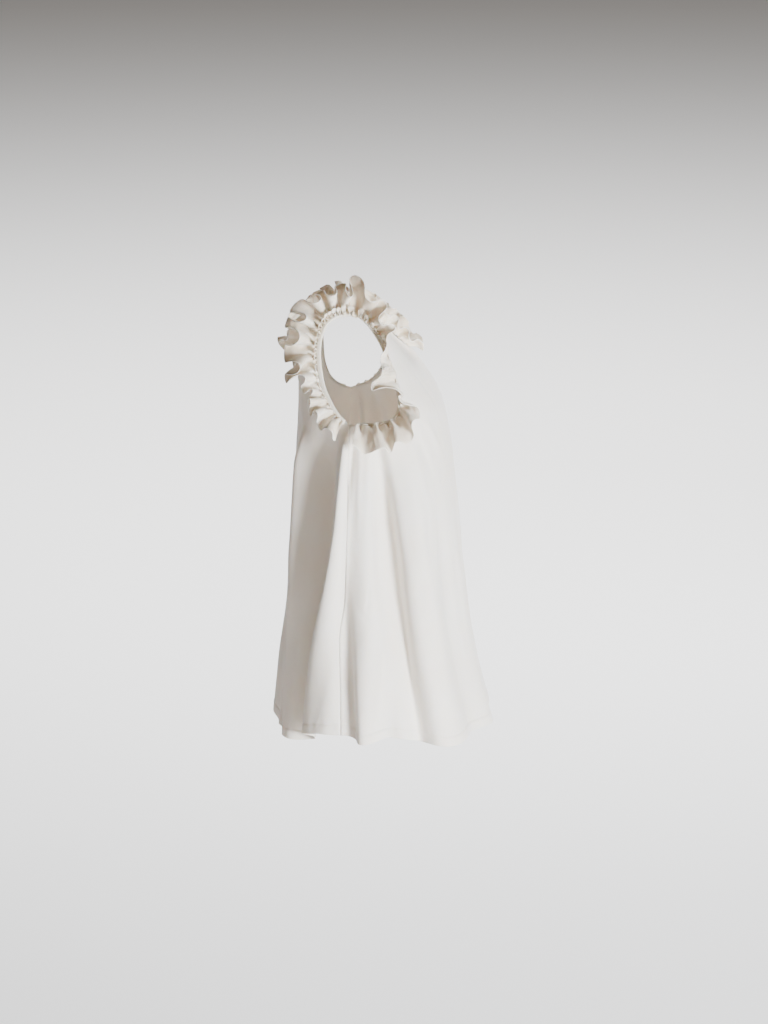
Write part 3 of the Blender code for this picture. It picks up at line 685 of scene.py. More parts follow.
def cotton(name, pale, warm, crumple, patch_scale=7.0):
    """A cotton material: tone, weave bump, fine crumple and a little sheen."""
    material = bpy.data.materials.new(name)
    material.use_nodes = True
    tree = material.node_tree
    shader = tree.nodes["Principled BSDF"]
    shader.inputs["Roughness"].default_value = 0.82
    shader.inputs["Specular IOR Level"].default_value = 0.25
    shader.inputs["Sheen Weight"].default_value = 0.20
    shader.inputs["Sheen Roughness"].default_value = 0.5
    shader.inputs["Subsurface Weight"].default_value = 0.30
    shader.inputs["Subsurface Radius"].default_value = (1.0, 0.72, 0.45)
    shader.inputs["Subsurface Scale"].default_value = 0.0018
    place = add_node(tree, "ShaderNodeTexCoord")
    cloth = add_node(tree, "ShaderNodeUVMap", uv_map="cloth")
    threads = add_node(tree, "ShaderNodeGroup", node_tree=weave)
    tree.links.new(cloth.outputs[0], threads.inputs["Vector"])
    colour = add_node(tree, "ShaderNodeGroup", node_tree=tone)
    colour.inputs["Pale"].default_value = (*pale, 1.0)
    colour.inputs["Warm"].default_value = (*warm, 1.0)
    colour.inputs["Patch Scale"].default_value = patch_scale
    tree.links.new(place.outputs["Object"], colour.inputs["Vector"])
    tree.links.new(colour.outputs["Color"], shader.inputs["Base Color"])
    rough = maths(tree, "MULTIPLY_ADD", threads.outputs["Slub"], 0.12, 0.76)
    tree.links.new(rough, shader.inputs["Roughness"])
    soft = add_node(tree, "ShaderNodeBump")
    soft.inputs["Strength"].default_value = crumple
    soft.inputs["Distance"].default_value = 0.002
    tree.links.new(colour.outputs["Crumple"], soft.inputs["Height"])
    fine = add_node(tree, "ShaderNodeBump")
    fine.inputs["Strength"].default_value = 0.35
    fine.inputs["Distance"].default_value = 0.00015
    tree.links.new(threads.outputs["Height"], fine.inputs["Height"])
    tree.links.new(soft.outputs["Normal"], fine.inputs["Normal"])
    tree.links.new(fine.outputs["Normal"], shader.inputs["Normal"])
    return material


body_cotton = cotton("cream cotton, body", (0.85, 0.80, 0.735), (0.82, 0.755, 0.675), 0.35)
# Painted shade: the ruffles are the same cream cotton as the body, but their colours are darker and warmer
# and their warm patches deeper, to stand in for the shade that they hang in. The patches also vary the tone
# at random.
shaded_ruffle_cotton = cotton("cream cotton, ruffles, painted shade", (0.825, 0.76, 0.665), (0.71, 0.62, 0.48), 0.65, 22.0)
binding_cotton = cotton("cream cotton, binding", (0.82, 0.755, 0.66), (0.78, 0.71, 0.60), 0.3, 20.0)
bead_cotton = cotton("cream cotton, rolled edge", (0.86, 0.81, 0.73), (0.82, 0.755, 0.65), 0.3, 20.0)
thread_material = bpy.data.materials.new("sewing thread")
thread_material.use_nodes = True
thread_shader = thread_material.node_tree.nodes["Principled BSDF"]
thread_shader.inputs["Base Color"].default_value = (0.76, 0.71, 0.62, 1.0)
thread_shader.inputs["Roughness"].default_value = 0.6
thread_shader.inputs["Sheen Weight"].default_value = 0.2
print("materials:", body_cotton.name, "|", shaded_ruffle_cotton.name, "|", binding_cotton.name)

# %% [markdown]
# ## The two panels
# A front and a back make the body of the dress. Each is one surface between two side edges, the neckline
# and the hem. The grid's rows follow the armholes at the sides and run level in the middle, and its columns
# reach their place at the hem early, so that they run along the folds and not across them. Then every point
# moves out by the folds, creases and puckers of the tables.

# %% Panel grids
WALL = 0.0011
STRAP_ROWS = 6
ARMHOLE_ROWS = 56
SKIRT_ROWS = 88
HEM_ROWS = 13
HEM_REACH = 0.026  # the hem's rows are closer together, for its stitched line
HEM_TURN = 0.018
FRONT_CELLS = 220
BACK_CELLS = 230
COLUMN_EASE = 2.8  # over 1: the columns fan out high up and run straight below
SIDE_POWER = 3  # a higher power keeps the rows level until nearer the side edges
GAP_FROM = 0.02  # the side edges leave their gap from this far above the side seam
PUCKER_LENGTH = 0.011
PUCKER_HEIGHT = 0.0007
PUCKER_REACH = 0.011
PUCKER_FROM, PUCKER_RISE = 0.01, 0.02  # where below the armhole they start, and how soon they are full
HEM_THICKER = 0.0008
HEM_STEP_ABOVE = 0.002  # the doubled cloth ends this far above its stitched line
HEM_STEP = 0.003  # length over which it thins out
HEM_DIMPLE = 0.0007  # depth of the stitched line
HEM_DIMPLE_WIDE = 0.0022
HEM_RIPPLE = 0.0003
HEM_RIPPLE_LENGTH = 0.016
HEM_RIPPLE_REACH = 0.009


def pucker(angle, drop):
    """Short ripples that a line of stitches pulls into the cloth beside the side seams."""
    left = angle_at(smooth(SIDE_SEAM, 1, drop), drop)
    scale = metres_a_degree(drop)
    near = np.minimum(np.abs(wrapped(angle - left)), np.abs(wrapped(180.0 - angle - left))) * scale
    ripple = np.sin(drop * 2 * math.pi / PUCKER_LENGTH + 1.7 * np.sin(drop * 37.0))
    below = ease((drop - UNDER_ARM - PUCKER_FROM) / PUCKER_RISE)
    return PUCKER_HEIGHT * ripple * below * np.exp(-((near / PUCKER_REACH) ** 2))


def hem_turn(angle, drop):
    """The doubled cloth of the hem: a little thicker, with a dimpled line where it is stitched."""
    above = hem_drop(angle) - drop
    line = np.exp(-(((above - HEM_TURN) / HEM_DIMPLE_WIDE) ** 2))
    round_hem = angle * metres_a_degree(drop)
    ripple = np.sin(round_hem * 2 * math.pi / HEM_RIPPLE_LENGTH + 2.0 * np.sin(angle * 0.31))
    near = np.exp(-(((above - HEM_TURN) / HEM_RIPPLE_REACH) ** 2))
    thicker = HEM_THICKER * ease((HEM_TURN + HEM_STEP_ABOVE - above) / HEM_STEP)
    return thicker - HEM_DIMPLE * line + HEM_RIPPLE * ripple * near


def cloth_point(angle, drop):
    """A point of the finished cloth's outer face."""
    out = creases(angle, drop) + rolls(angle, drop) + cloth_noise(angle, drop)
    out = out + pucker(angle, drop) + hem_turn(angle, drop)
    return body_point(angle, drop) + body_normal(angle, drop) * out[..., None]


def panel_side(table, sign):
    """One side edge of a panel from the neck to the hem: (angle, drop) points."""
    strap = resampled([(sign * NECK_FRONT[0][0], 0.0), (sign * STRAP_OUTER_ANGLE, 0.0)], STRAP_ROWS)
    armhole = armhole_edge(table, sign, ARMHOLE_ROWS)
    last = float(angle_at(SIDE_SEAM[-1][1], HEM_DROP))
    low = float(hem_drop(last))
    drops = np.linspace(SIDE_SEAM[0][0], low - HEM_REACH, SKIRT_ROWS + 1)
    drops = np.concatenate([drops, np.linspace(low - HEM_REACH, low, HEM_ROWS + 1)[1:]])
    seam = np.column_stack([angle_at(smooth(SIDE_SEAM, 1, drops), drops), drops])
    line = np.vstack([strap, armhole[1:], seam[1:]])
    below = line[:, 1] > SIDE_SEAM[0][0] - GAP_FROM
    line[:, 0] += np.where(below, sign * 0.5 * SEAM_GAP / metres_a_degree(line[:, 1]), 0.0)
    return line


def panel_domain(left, right, neck, sign, cells):
    """A grid of (angle, drop) between a panel's two side edges, its neck edge and its hem."""
    half = np.linspace(0.0, 1.0, cells // 2 + 1)
    neck_table = [(abs(a - neck[0][0]) / (90.0 - neck[0][0]), a, d) for a, d in neck]
    near = np.column_stack([sign * smooth(neck_table, 1, half), smooth(neck_table, 2, half)])
    top = np.vstack([near, mirrored(near[::-1], sign)[1:]])
    u = np.linspace(0.0, 1.0, cells + 1)
    angles = left[-1, 0] + (right[-1, 0] - left[-1, 0]) * u
    bottom = np.column_stack([angles, hem_drop(angles)])
    bottom[0] = left[-1]
    bottom[-1] = right[-1]
    rest = 1.0 - HEM_REACH / left[-1, 1]
    even = np.concatenate([
        np.linspace(0.0, rest, len(left) - HEM_ROWS), np.linspace(rest, 1.0, HEM_ROWS + 1)[1:]
    ])[:, None]
    early = 1.0 - (1.0 - even) ** COLUMN_EASE
    middle = 1.0 - np.abs(2.0 * u - 1.0) ** SIDE_POWER
    side = (1 - u) * (left[:, 1] / left[-1, 1])[:, None] + u * (right[:, 1] / right[-1, 1])[:, None]
    share = (1 - middle) * side + middle * even
    drops = top[:, 1] + (bottom[:, 1] - top[:, 1]) * share
    turn = (1 - early) * top[:, 0] + early * bottom[:, 0]
    turn = turn + (1 - u) * (left[:, :1] - (1 - early) * left[0, 0] - early * left[-1, 0])
    turn = turn + u * (right[:, :1] - (1 - early) * right[0, 0] - early * right[-1, 0])
    return np.stack([turn, drops], axis=-1)


def make_panel(name, node, domain, outward):
    points = cloth_point(domain[..., 0], domain[..., 1])
    if outward < 0:
        points = points[:, ::-1]
    piece = grid_piece(name, points, body_cotton, WALL, 1.0)
    area = cloth_area(points)
    width = float(spans(points[-1]).sum())
    length = float(spans(points[:, points.shape[1] // 2]).sum())
    print(name, "area", round(area, 3), "m2, hem", round(width, 3), "m, length", round(length, 3), "m")
    stand_in(piece, node)
    return piece, area, width, length


left_front = panel_side(LEFT_ARMHOLE_FRONT, -1)
right_front = mirrored(panel_side(RIGHT_ARMHOLE_FRONT, -1), -1)
front_domain = panel_domain(left_front, right_front, NECK_FRONT, -1, FRONT_CELLS)
left_back = panel_side(LEFT_ARMHOLE_BACK, 1)
right_back = mirrored(panel_side(RIGHT_ARMHOLE_BACK, 1), 1)
back_domain = panel_domain(left_back, right_back, NECK_BACK, 1, BACK_CELLS)
front_piece, front_area, front_width, front_length = make_panel("front", "front_panel", front_domain, -1)
back_piece, back_area, back_width, back_length = make_panel("back", "back_panel", back_domain, 1)

# %% [markdown]
# ## The edges that the ruffles follow
# A gathered strip needs a path and two directions at each point of it: out of the cloth, and away from the
# opening. Both come from the body's surface. They are evened out along the path, because a kink in a
# direction would tear a fan of gathers apart.

# %% Frames along an edge
ARM_STATIONS = 162
NECK_STATIONS = 144
RUFFLE_END = 0.010  # length left free beside the side seam
NO_LENGTH = 1e-7  # keeps the table rising where two lines share a point
POINT_BLURS = 2
NORMAL_BLURS = 8  # a kink in a normal shows more than one in the path
FINE_BLURS = 3


def blurred(values, times, closed):
    """Rows of values, each mixed with its two neighbours."""
    for _ in range(times):
        if closed:
            padded = np.vstack([values[-1:], values, values[:1]])
        else:
            padded = np.vstack([values[:1], values, values[-1:]])
        values = (padded[:-2] + 2 * padded[1:-1] + padded[2:]) / 4
    return values


def edge_frames(lines, count, closed=False):
    """Points, outward directions and directions along an edge given as (angle, drop) lines, evenly spaced."""
    even = [resampled(line, EDGE_STEPS) for line in lines]
    points = np.vstack([body_point(line[:, 0], line[:, 1]) for line in even])
    normals = np.vstack([body_normal(line[:, 0], line[:, 1]) for line in even])
    if closed:
        points = np.vstack([points, points[:1]])
        normals = np.vstack([normals, normals[:1]])
    length = np.concatenate([[0.0], np.cumsum(spans(points) + NO_LENGTH)])
    table = np.column_stack([length, points, normals])
    at = np.linspace(0.0, length[-1], count + 1)
    if closed:
        at = at[:-1]
    points = np.column_stack([smooth(table, i, at) for i in (1, 2, 3)])
    normals = np.column_stack([smooth(table, i, at) for i in (4, 5, 6)])
    return framed(blurred(points, POINT_BLURS, closed), unit(blurred(normals, NORMAL_BLURS, closed)), closed)


def framed(points, normals, closed):
    if closed:
        along = unit(np.roll(points, -1, axis=0) - np.roll(points, 1, axis=0))
    else:
        along = unit(np.gradient(points, axis=0))
    normals = unit(normals - along * (normals * along).sum(axis=1, keepdims=True))
    return points, normals, along


def trimmed(frames, ends):
    """Frames without a length at each end."""
    points = frames[0]
    length = np.concatenate([[0.0], np.cumsum(spans(points))])
    at = np.linspace(ends, length[-1] - ends, len(points))
    return tuple(np.column_stack([np.interp(at, length, part[:, i]) for i in range(3)]) for part in frames)


def refined(frames, times, closed):
    """The same frames at times as many stations."""
    points, normals, _ = frames
    if closed:
        points = np.vstack([points, points[:1]])
        normals = np.vstack([normals, normals[:1]])
    table = np.column_stack([np.arange(len(points)), points, normals])
    at = np.linspace(0.0, len(points) - 1.0, (len(points) - 1) * times + 1)
    if closed:
        at = at[:-1]
    points = np.column_stack([smooth(table, i, at) for i in (1, 2, 3)])
    normals = unit(np.column_stack([smooth(table, i, at) for i in (4, 5, 6)]))
    return framed(blurred(points, FINE_BLURS, closed), normals, closed)


def armhole_lines(front, back, right_side):
    """The edge of an armhole, from the side seam up its front, over the shoulder and down its back."""
    front_line = armhole_edge(front, -1, EDGE_STEPS)[::-1]
    back_line = armhole_edge(back, 1, EDGE_STEPS)
    if right_side:
        return mirrored(front_line, -1), mirrored(back_line, 1)
    return front_line, back_line


def neck_lines():
    """The neck edge: the front from left to right, then the back from right to left."""
    front = [(-angle, drop) for angle, drop in NECK_FRONT]
    front += [(angle - 180.0, drop) for angle, drop in NECK_FRONT[-2::-1]]
    back = [(180.0 - angle, drop) for angle, drop in NECK_BACK]
    back += [(angle, drop) for angle, drop in NECK_BACK[-2::-1]]
    return front, back


# %% [markdown]
# ## The ruffles
# A ruffle is a straight strip, gathered on a thread near one edge and sewn down there. Along that line the
# cloth makes many tiny gathers. They join into fewer, larger waves on the way to the free edge, and the
# free edge curls. The short heading above the thread stands up as a row of small loops. One table gives the
# strip's width, the angle at which it leaves the cloth and how far its waves swing, at places along the
# armhole. The seam line's stations are those of the solid, so that each strip stays where its solid is.

# %% Ruffle tables
RUFFLE_COLUMNS = ("along", "set_back", "wide", "rise", "curl", "swing", "sink")
LEFT_RUFFLE = (
    (0.00, 0.004, 0.050, 72, 45, 0.009, 0.014),
    (0.10, 0.006, 0.046, 68, 42, 0.013, 0.012),
    (0.14, 0.008, 0.044, 72, 52, 0.012, 0.010),
    (0.22, 0.012, 0.058, 60, 30, 0.015, 0.010),
    (0.33, 0.014, 0.062, 56, 30, 0.016, 0.004),
    (0.38, 0.012, 0.058, 68, 50, 0.014, 0.000),
    (0.43, 0.006, 0.058, 90, 80, 0.013, 0.000),
    (0.47, 0.004, 0.058, 104, 102, 0.012, 0.000),
    (0.51, 0.004, 0.056, 100, 97, 0.012, 0.000),
    (0.58, 0.004, 0.046, 100, 100, 0.008, 0.000),
    (0.62, 0.004, 0.036, 116, 140, 0.006, 0.002),
    (0.66, 0.004, 0.036, 126, 168, 0.006, 0.002),
    (0.70, 0.004, 0.044, 132, 176, 0.007, 0.002),
    (0.76, 0.004, 0.062, 136, 182, 0.010, 0.004),
    (0.80, 0.004, 0.054, 100, 100, 0.012, 0.012),
    (0.84, 0.004, 0.056, 78, 50, 0.011, 0.014),
    (0.90, 0.005, 0.062, 78, 34, 0.008, 0.014),
    (0.95, 0.005, 0.064, 78, 30, 0.008, 0.014),
    (1.00, 0.004, 0.058, 74, 36, 0.007, 0.012),
)
RIGHT_RUFFLE = (
    (0.00, 0.004, 0.044, 70, 40, 0.008, 0.010),
    (0.12, 0.006, 0.054, 65, 35, 0.013, 0.012),
    (0.30, 0.012, 0.056, 60, 32, 0.014, 0.008),
    (0.42, 0.006, 0.040, 110, 150, 0.009, 0.006),
    (0.53, 0.004, 0.034, 122, 190, 0.008, 0.006),
    (0.63, 0.004, 0.040, 112, 165, 0.009, 0.004),
    (0.75, 0.005, 0.050, 75, 50, 0.012, 0.008),
    (0.87, 0.006, 0.054, 65, 35, 0.013, 0.012),
    (1.00, 0.004, 0.046, 65, 40, 0.008, 0.010),
)
NECK_RUFFLE = (
    (0.000, 0.003, 0.028, 115, 130, 0.005, 0.000),
    (0.060, 0.003, 0.028, 120, 140, 0.005, 0.000),
    (0.120, 0.003, 0.030, 115, 125, 0.006, 0.000),
    (0.180, 0.005, 0.036, 95, 78, 0.008, 0.002),
    (0.250, 0.005, 0.042, 75, 35, 0.010, 0.006),
    (0.325, 0.005, 0.036, 92, 75, 0.008, 0.002),
    (0.390, 0.003, 0.030, 112, 120, 0.006, 0.000),
    (0.490, 0.003, 0.026, 115, 130, 0.005, 0.000),
    (0.600, 0.004, 0.023, 105, 100, 0.005, 0.000),
    (0.670, 0.005, 0.027, 84, 58, 0.005, 0.002),
    (0.750, 0.005, 0.033, 66, 26, 0.005, 0.003),
    (0.830, 0.005, 0.027, 84, 58, 0.005, 0.002),
    (0.900, 0.004, 0.023, 105, 100, 0.005, 0.000),
    (1.000, 0.003, 0.028, 115, 130, 0.005, 0.000),
)
ARM_CLEAR = 0.0052
NECK_CLEAR = 0.0023

# %% [markdown]
# ## Petals, one by one
# If every wave of a ruffle had the same length, it would look like a pleated paper fan. Real gathers
# differ: a broad petal flops over, a narrow one hides behind it, and the free edge runs in and out. So the
# waves of the ruffle in full view have a table of their own. Each row is a fold, in turn towards the
# opening and away from it, with its place, its share of the swing and of the width, its lean in degrees and
# its sideways slip. The folds of the other strips come from a seeded list of the same kind.

# %% Fold tables
PETAL_COLUMNS = ("along", "swing", "wide", "lean", "slip")
LEFT_PETALS = (
    (0.000, 0.4, 0.80, 0, 0.000),
    (0.018, 1.1, 0.96, 6, -0.004),
    (0.035, 0.9, 0.74, 0, 0.000),
    (0.055, 1.3, 0.92, 12, 0.003),
    (0.074, 0.9, 0.76, 0, 0.000),
    (0.094, 1.1, 0.90, 14, 0.004),
    (0.113, 0.8, 0.62, 0, 0.000),
    (0.130, 0.7, 0.56, 16, 0.003),
    (0.152, 0.8, 0.66, 0, 0.000),
    (0.184, 1.0, 0.66, 26, 0.004),
    (0.222, 1.2, 1.02, -4, 0.000),
    (0.247, 1.2, 0.64, 34, -0.003),
    (0.270, 1.0, 0.94, -4, 0.002),
    (0.295, 1.4, 0.66, 30, -0.004),
    (0.322, 1.3, 1.08, -6, 0.002),
    (0.343, 1.2, 0.60, 36, 0.004),
    (0.363, 1.1, 1.12, -4, -0.004),
    (0.379, 1.2, 0.64, 28, 0.003),
    (0.391, 0.9, 0.88, 0, 0.000),
    (0.404, 1.1, 0.62, 22, -0.003),
    (0.416, 0.9, 0.92, 0, 0.002),
    (0.433, 1.3, 0.66, 22, 0.004),
    (0.462, 1.1, 1.16, -4, 0.000),
    (0.492, 0.9, 0.90, 8, 0.004),
    (0.512, 0.6, 0.94, 0, 0.000),
    (0.534, 0.8, 0.86, 10, -0.003),
    (0.558, 0.5, 0.92, 0, 0.003),
    (0.586, 0.6, 0.88, 4, 0.000),
    (0.618, 0.4, 0.86, 0, 0.000),
    (0.660, 0.4, 0.88, 0, 0.000),
    (0.702, 0.4, 1.00, 0, 0.004),
    (0.744, 0.9, 1.12, 0, 0.004),
    (0.782, 0.9, 0.86, 0, 0.000),
    (0.806, 0.9, 0.94, 10, -0.003),
    (0.824, 0.8, 0.82, 0, 0.000),
    (0.844, 1.1, 0.98, 8, 0.004),
    (0.866, 1.0, 0.96, 0, 0.000),
    (0.892, 1.1, 1.00, 4, 0.003),
    (0.916, 1.0, 1.00, 0, 0.000),
    (0.944, 1.2, 1.03, 0, -0.003),
    (0.974, 1.0, 0.98, 0, 0.000),
    (1.000, 0.8, 0.90, 0, 0.000),
)


def chance_petals(waves, seed):
    """A fold table of uneven spacing and sizes, whose last row matches its first, so that it can close."""
    chance = random.Random(seed)
    steps = [chance.uniform(0.6, 1.5) for _ in range(2 * waves)]
    along = [0.0]
    for step in steps:
        along.append(along[-1] + step / sum(steps))
    rows = []
    for i, place in enumerate(along):
        crest = i % 2
        swing = chance.uniform(0.75, 1.25)
        wide = chance.uniform(0.86, 1.10) if crest else chance.uniform(0.76, 0.98)
        lean = chance.uniform(-10, 24) if crest else chance.uniform(-8, 4)
        rows.append((place, swing, wide, lean, chance.uniform(-0.004, 0.004) if crest else 0.0))
    rows[-1] = (1.0, *rows[0][1:])
    return tuple(rows)


SKEW = (  # along, how far the free edge slides along the strip
    (0.00, -0.008), (0.08, 0.010), (0.16, 0.004), (0.24, -0.012), (0.31, 0.010), (0.36, -0.006),
    (0.42, 0.010), (0.47, -0.010), (0.55, 0.012), (0.65, 0.000), (0.75, -0.006), (0.86, 0.010),
    (0.93, -0.008), (1.00, 0.004),
)
PINCH = (  # along, how much narrower than its valleys a crest is
    (0.00, -0.35), (0.12, -0.30), (0.18, 0.25), (0.30, 0.45), (0.47, 0.40), (0.54, 0.00),
    (0.65, 0.00), (0.80, 0.00), (0.90, -0.10), (1.00, -0.10),
)
HEADS = (  # along, the heading's share of the width
    (0.00, 0.07), (0.14, 0.12), (0.24, 0.20), (0.34, 0.30), (0.47, 0.30), (0.55, 0.17),
    (0.65, 0.10), (0.80, 0.08), (1.00, 0.06),
)
CROWDS = (  # along, how much cloth is crowded into the small gathers
    (0.00, 1.6), (0.14, 1.0), (0.24, 1.6), (0.34, 2.4), (0.47, 2.4), (0.55, 1.4),
    (0.65, 0.8), (0.80, 1.4), (0.90, 2.2), (1.00, 2.0),
)
CALM = (  # along, how much the bends bulge and curl: the last lobes hang open
    (0.00, 1.0), (0.80, 1.0), (0.87, 0.35), (1.00, 0.20),
)
OVERHANG = 0.32  # sideways share of a wave's swing, which makes its folds bulge
PINCHED_OVERHANG = 1.6  # how fast a wide crest loses that bulge
LEAST_OVERHANG = 0.2
LEAST_SWING = 0.0008  # swing at the seam line
SWING_POWER = 0.8  # how the swing grows over the width
SKEW_POWER = 1.5
SKEW_WIDTH = 0.055  # the width that the skew table is made for
FINE_GATHERS = 2  # small gathers in a wave
UNEVEN_GATHERS = 1.2  # how unevenly they are spaced, in radians
GATHER_CELLS = 40
GATHER = 0.0013
GATHER_RISE = 0.12  # shares of the width over which the gathers rise and fade
GATHER_FADE = 0.45
EDGE_CURL = 24.0  # degrees
CURL_FROM, CURL_OVER = 0.70, 0.30  # shares of the width
CRUMPLE = 0.0017
CRUMPLE_POWER = 0.7  # how the crumple grows over the width
CRUMPLE_CELLS = ((90, 5, 1.0), (210, 9, 0.5))  # cells along, cells across, share
CLOSED_HEADING = 0.12  # the heading's share of the width on a closed strip
USUAL_HEADING = 0.16  # the heading at which its loops have their stated swing
MOST_LOOP = 1.7  # the most that they grow beyond it
RUFFLE_ROWS = 18
ROW_POWER = 0.85  # under 1: the rows are wider apart near the seam line
HEADING_ROWS = 4
HEADING_UNEVEN = 0.25  # share of the heading's height by which its loops differ
LOOP_LIFT = 0.5  # shares of a loop's swing: out of the cloth, with the waves, and along the strip
LOOP_WAVE = 0.2
LOOP_TURN = 0.4
PATH_STEPS = 16
STATIONS_TIMES = 5
RUFFLE_WALL = 0.0009


def ruffle_grid(frames, away, table, petals, seed, heading_swing, clear, closed):
    """The middle surface of a gathered strip: rows from the heading to the free edge."""
    points, normals, along = frames
    count = len(points)
    share = np.arange(count) / (count if closed else count - 1)
    sizes = {name: smooth(table, i, share)[:, None] for i, name in enumerate(RUFFLE_COLUMNS)}
    petal = {name: smooth(petals, i, share)[:, None] for i, name in enumerate(PETAL_COLUMNS)}
    turns = [(row[0], math.pi * i) for i, row in enumerate(petals)]
    phase = smooth(turns, 1, share)[:, None] - math.pi / 2
    swing = sizes["swing"] * petal["swing"]
    wide = sizes["wide"] * petal["wide"]
    chance = np.random.default_rng(seed)
    wave = np.sin(phase)
    if closed:
        bulge, calm, heading, crowded, skew = OVERHANG, 1.0, CLOSED_HEADING, 1.0, 0.0
    else:
        pinch, calm, heading, crowded, skew = (
            smooth(part, 1, share)[:, None] for part in (PINCH, CALM, HEADS, CROWDS, SKEW)
        )
        wave = wave - pinch * (1 - wave ** 2)
        bulge = OVERHANG * np.clip(1 + PINCHED_OVERHANG * pinch, LEAST_OVERHANG, 1.0) * calm
    uneven = value_noise(share, 0 * share, GATHER_CELLS, 1, chance)[:, None]
    fine_phase = FINE_GATHERS * phase + UNEVEN_GATHERS * uneven
    fine = np.sin(fine_phase)
    base = points + away * sizes["set_back"] + normals * clear
    rows = list(np.linspace(-1.0, 0.0, HEADING_ROWS, endpoint=False))
    rows += list(np.linspace(0.0, 1.0, RUFFLE_ROWS + 1) ** ROW_POWER)
    grid = []
    for row in rows:
        if row < 0:
            tall = heading * -row * (1 - HEADING_UNEVEN + HEADING_UNEVEN * fine)
            loop = heading_swing * np.minimum(heading * -row / USUAL_HEADING, MOST_LOOP)
            lift = np.radians(sizes["rise"])
            side = (np.cos(lift) * normals - np.sin(lift) * away) * (1 + row) - normals * row
            spot = base - away * sizes["wide"] * tall + normals * LOOP_LIFT * loop
            spot = spot + side * ((GATHER * crowded + loop) * fine + LOOP_WAVE * loop * wave)
            grid.append(spot - along * LOOP_TURN * loop * np.sin(2 * fine_phase))
            continue
        path = np.zeros_like(points)
        steps = np.linspace(0.0, row, PATH_STEPS + 1)
        for step in 0.5 * (steps[1:] + steps[:-1]):
            roll = EDGE_CURL * calm * wave * ease((step - CURL_FROM) / CURL_OVER)
            lift = sizes["rise"] + (sizes["curl"] - sizes["rise"]) * step + petal["lean"] * step + roll
            lift = np.radians(lift)
            path = path + (np.cos(lift) * away + np.sin(lift) * normals) * row / PATH_STEPS
        lift = np.radians(sizes["rise"] + (sizes["curl"] - sizes["rise"]) * row + petal["lean"] * row)
        side = np.cos(lift) * normals - np.sin(lift) * away
        reach = swing * row ** SWING_POWER + LEAST_SWING
        spot = base + path * wide + side * reach * wave
        slide = petal["slip"] * row ** 2 + skew * sizes["wide"] / SKEW_WIDTH * row ** SKEW_POWER
        spot = spot + along * (slide - reach * bulge * np.sin(2 * phase))
        gather = GATHER * crowded * (1 + min(row / GATHER_RISE, 1.0)) * math.exp(-((row / GATHER_FADE) ** 2))
        spot = spot + side * gather * fine
        rough = 0.0
        for i, (cells_along, cells_across, part) in enumerate(CRUMPLE_CELLS):
            chance = np.random.default_rng(seed + 1 + i)
            rough = rough + part * value_noise(share, np.full(count, row), cells_along, cells_across, chance)
        spot = spot + side * CRUMPLE * rough[:, None] * row ** CRUMPLE_POWER
        grid.append(spot - np.array([0.0, 0.0, 1.0]) * sizes["sink"] * row ** 2)
    return np.stack(grid)


# %% [markdown]
# Three strips are made from the tables. Each stands on the same stations as its solid, only finer.

# %% Ruffle pieces
RIGHT_WAVES = 24
NECK_WAVES = 18
SHOWN_SHARE = 0.85  # the rest of the cut lies in gathers too fine to model
ARM_HEADING_SWING = 0.0050
NECK_HEADING_SWING = 0.0010


def make_ruffle(name, node, grid, closed):
    piece = grid_piece(name, grid, shaded_ruffle_cotton, RUFFLE_WALL, 0.5, closed)
    area = cloth_area(np.concatenate([grid, grid[:, :1]], axis=1) if closed else grid)
    width = float(np.linalg.norm(np.diff(grid, axis=0), axis=2).sum(axis=0).mean())
    length = area / width / SHOWN_SHARE
    print(name, "area", round(area, 4), "m2, cut", round(length, 3), "m long and", round(width, 4), "m wide")
    stand_in(piece, node)
    return piece, length, width


def armhole_ruffle(side, front, back, table, petals, seed):
    right_side = side == "right"
    coarse = trimmed(edge_frames(armhole_lines(front, back, right_side), ARM_STATIONS), RUFFLE_END)
    frames = refined(coarse, STATIONS_TIMES, False)
    away = unit(np.cross(frames[1], frames[2])) * (-1.0 if right_side else 1.0)
    grid = ruffle_grid(frames, away, table, petals, seed, ARM_HEADING_SWING, ARM_CLEAR, False)
    made = make_ruffle("armhole_ruffle_of_" + side, "armhole_ruffle_" + side, grid, False)
    return (grid, *made)


left_grid, left_ruffle, left_length, left_width = armhole_ruffle(
    "left", LEFT_ARMHOLE_FRONT, LEFT_ARMHOLE_BACK, LEFT_RUFFLE, LEFT_PETALS, 11
)
right_grid, right_ruffle, right_length, right_width = armhole_ruffle(
    "right", RIGHT_ARMHOLE_FRONT, RIGHT_ARMHOLE_BACK, RIGHT_RUFFLE, chance_petals(RIGHT_WAVES, 23), 23
)
neck_frames = refined(edge_frames(neck_lines(), NECK_STATIONS, closed=True), STATIONS_TIMES, True)
neck_away = unit(np.cross(neck_frames[1], neck_frames[2]))
neck_grid = ruffle_grid(
    neck_frames, neck_away, NECK_RUFFLE, chance_petals(NECK_WAVES, 37), 37,
    NECK_HEADING_SWING, NECK_CLEAR, True,
)
neck_ruffle, neck_length, neck_width = make_ruffle("ruffle_of_neck", "neck_ruffle", neck_grid, True)

# %% [markdown]
# ## The bindings
# A narrow strip cut on the bias is folded over each raw armhole edge. It could be swept along the edge with
# a curve, but the strip has to lie on the cloth on one side of the edge only, so its profile is worked out
# at every station: a flat outer leaf, a round turn and a short inner leaf.

# %% Binding pieces
BINDING_WIDE = 0.007
BINDING_WALL = 0.0007
BINDING_GAP = 0.0009  # clear distance to the cloth
BINDING_LIFT = 0.0018  # its outer leaf's edge stands a little off the cloth
BINDING_CROWN = 0.0007
INNER_LEAF = 0.0022  # how far behind the cloth the inner leaf ends
TURN_OUT = 0.0010  # the round turn over the edge: how far out, and how tall
TURN_TALL = 0.0019
TURN_ANGLES = (-70, -40, 0, 40, 70)
BINDING_END = 2  # stations left free at each end, beside the side seam
BINDING_POINT_BLURS, BINDING_NORMAL_BLURS = 1, 4
LEAF_SHARES = (0.2, 0.45, 0.7, 0.9, 1.0)


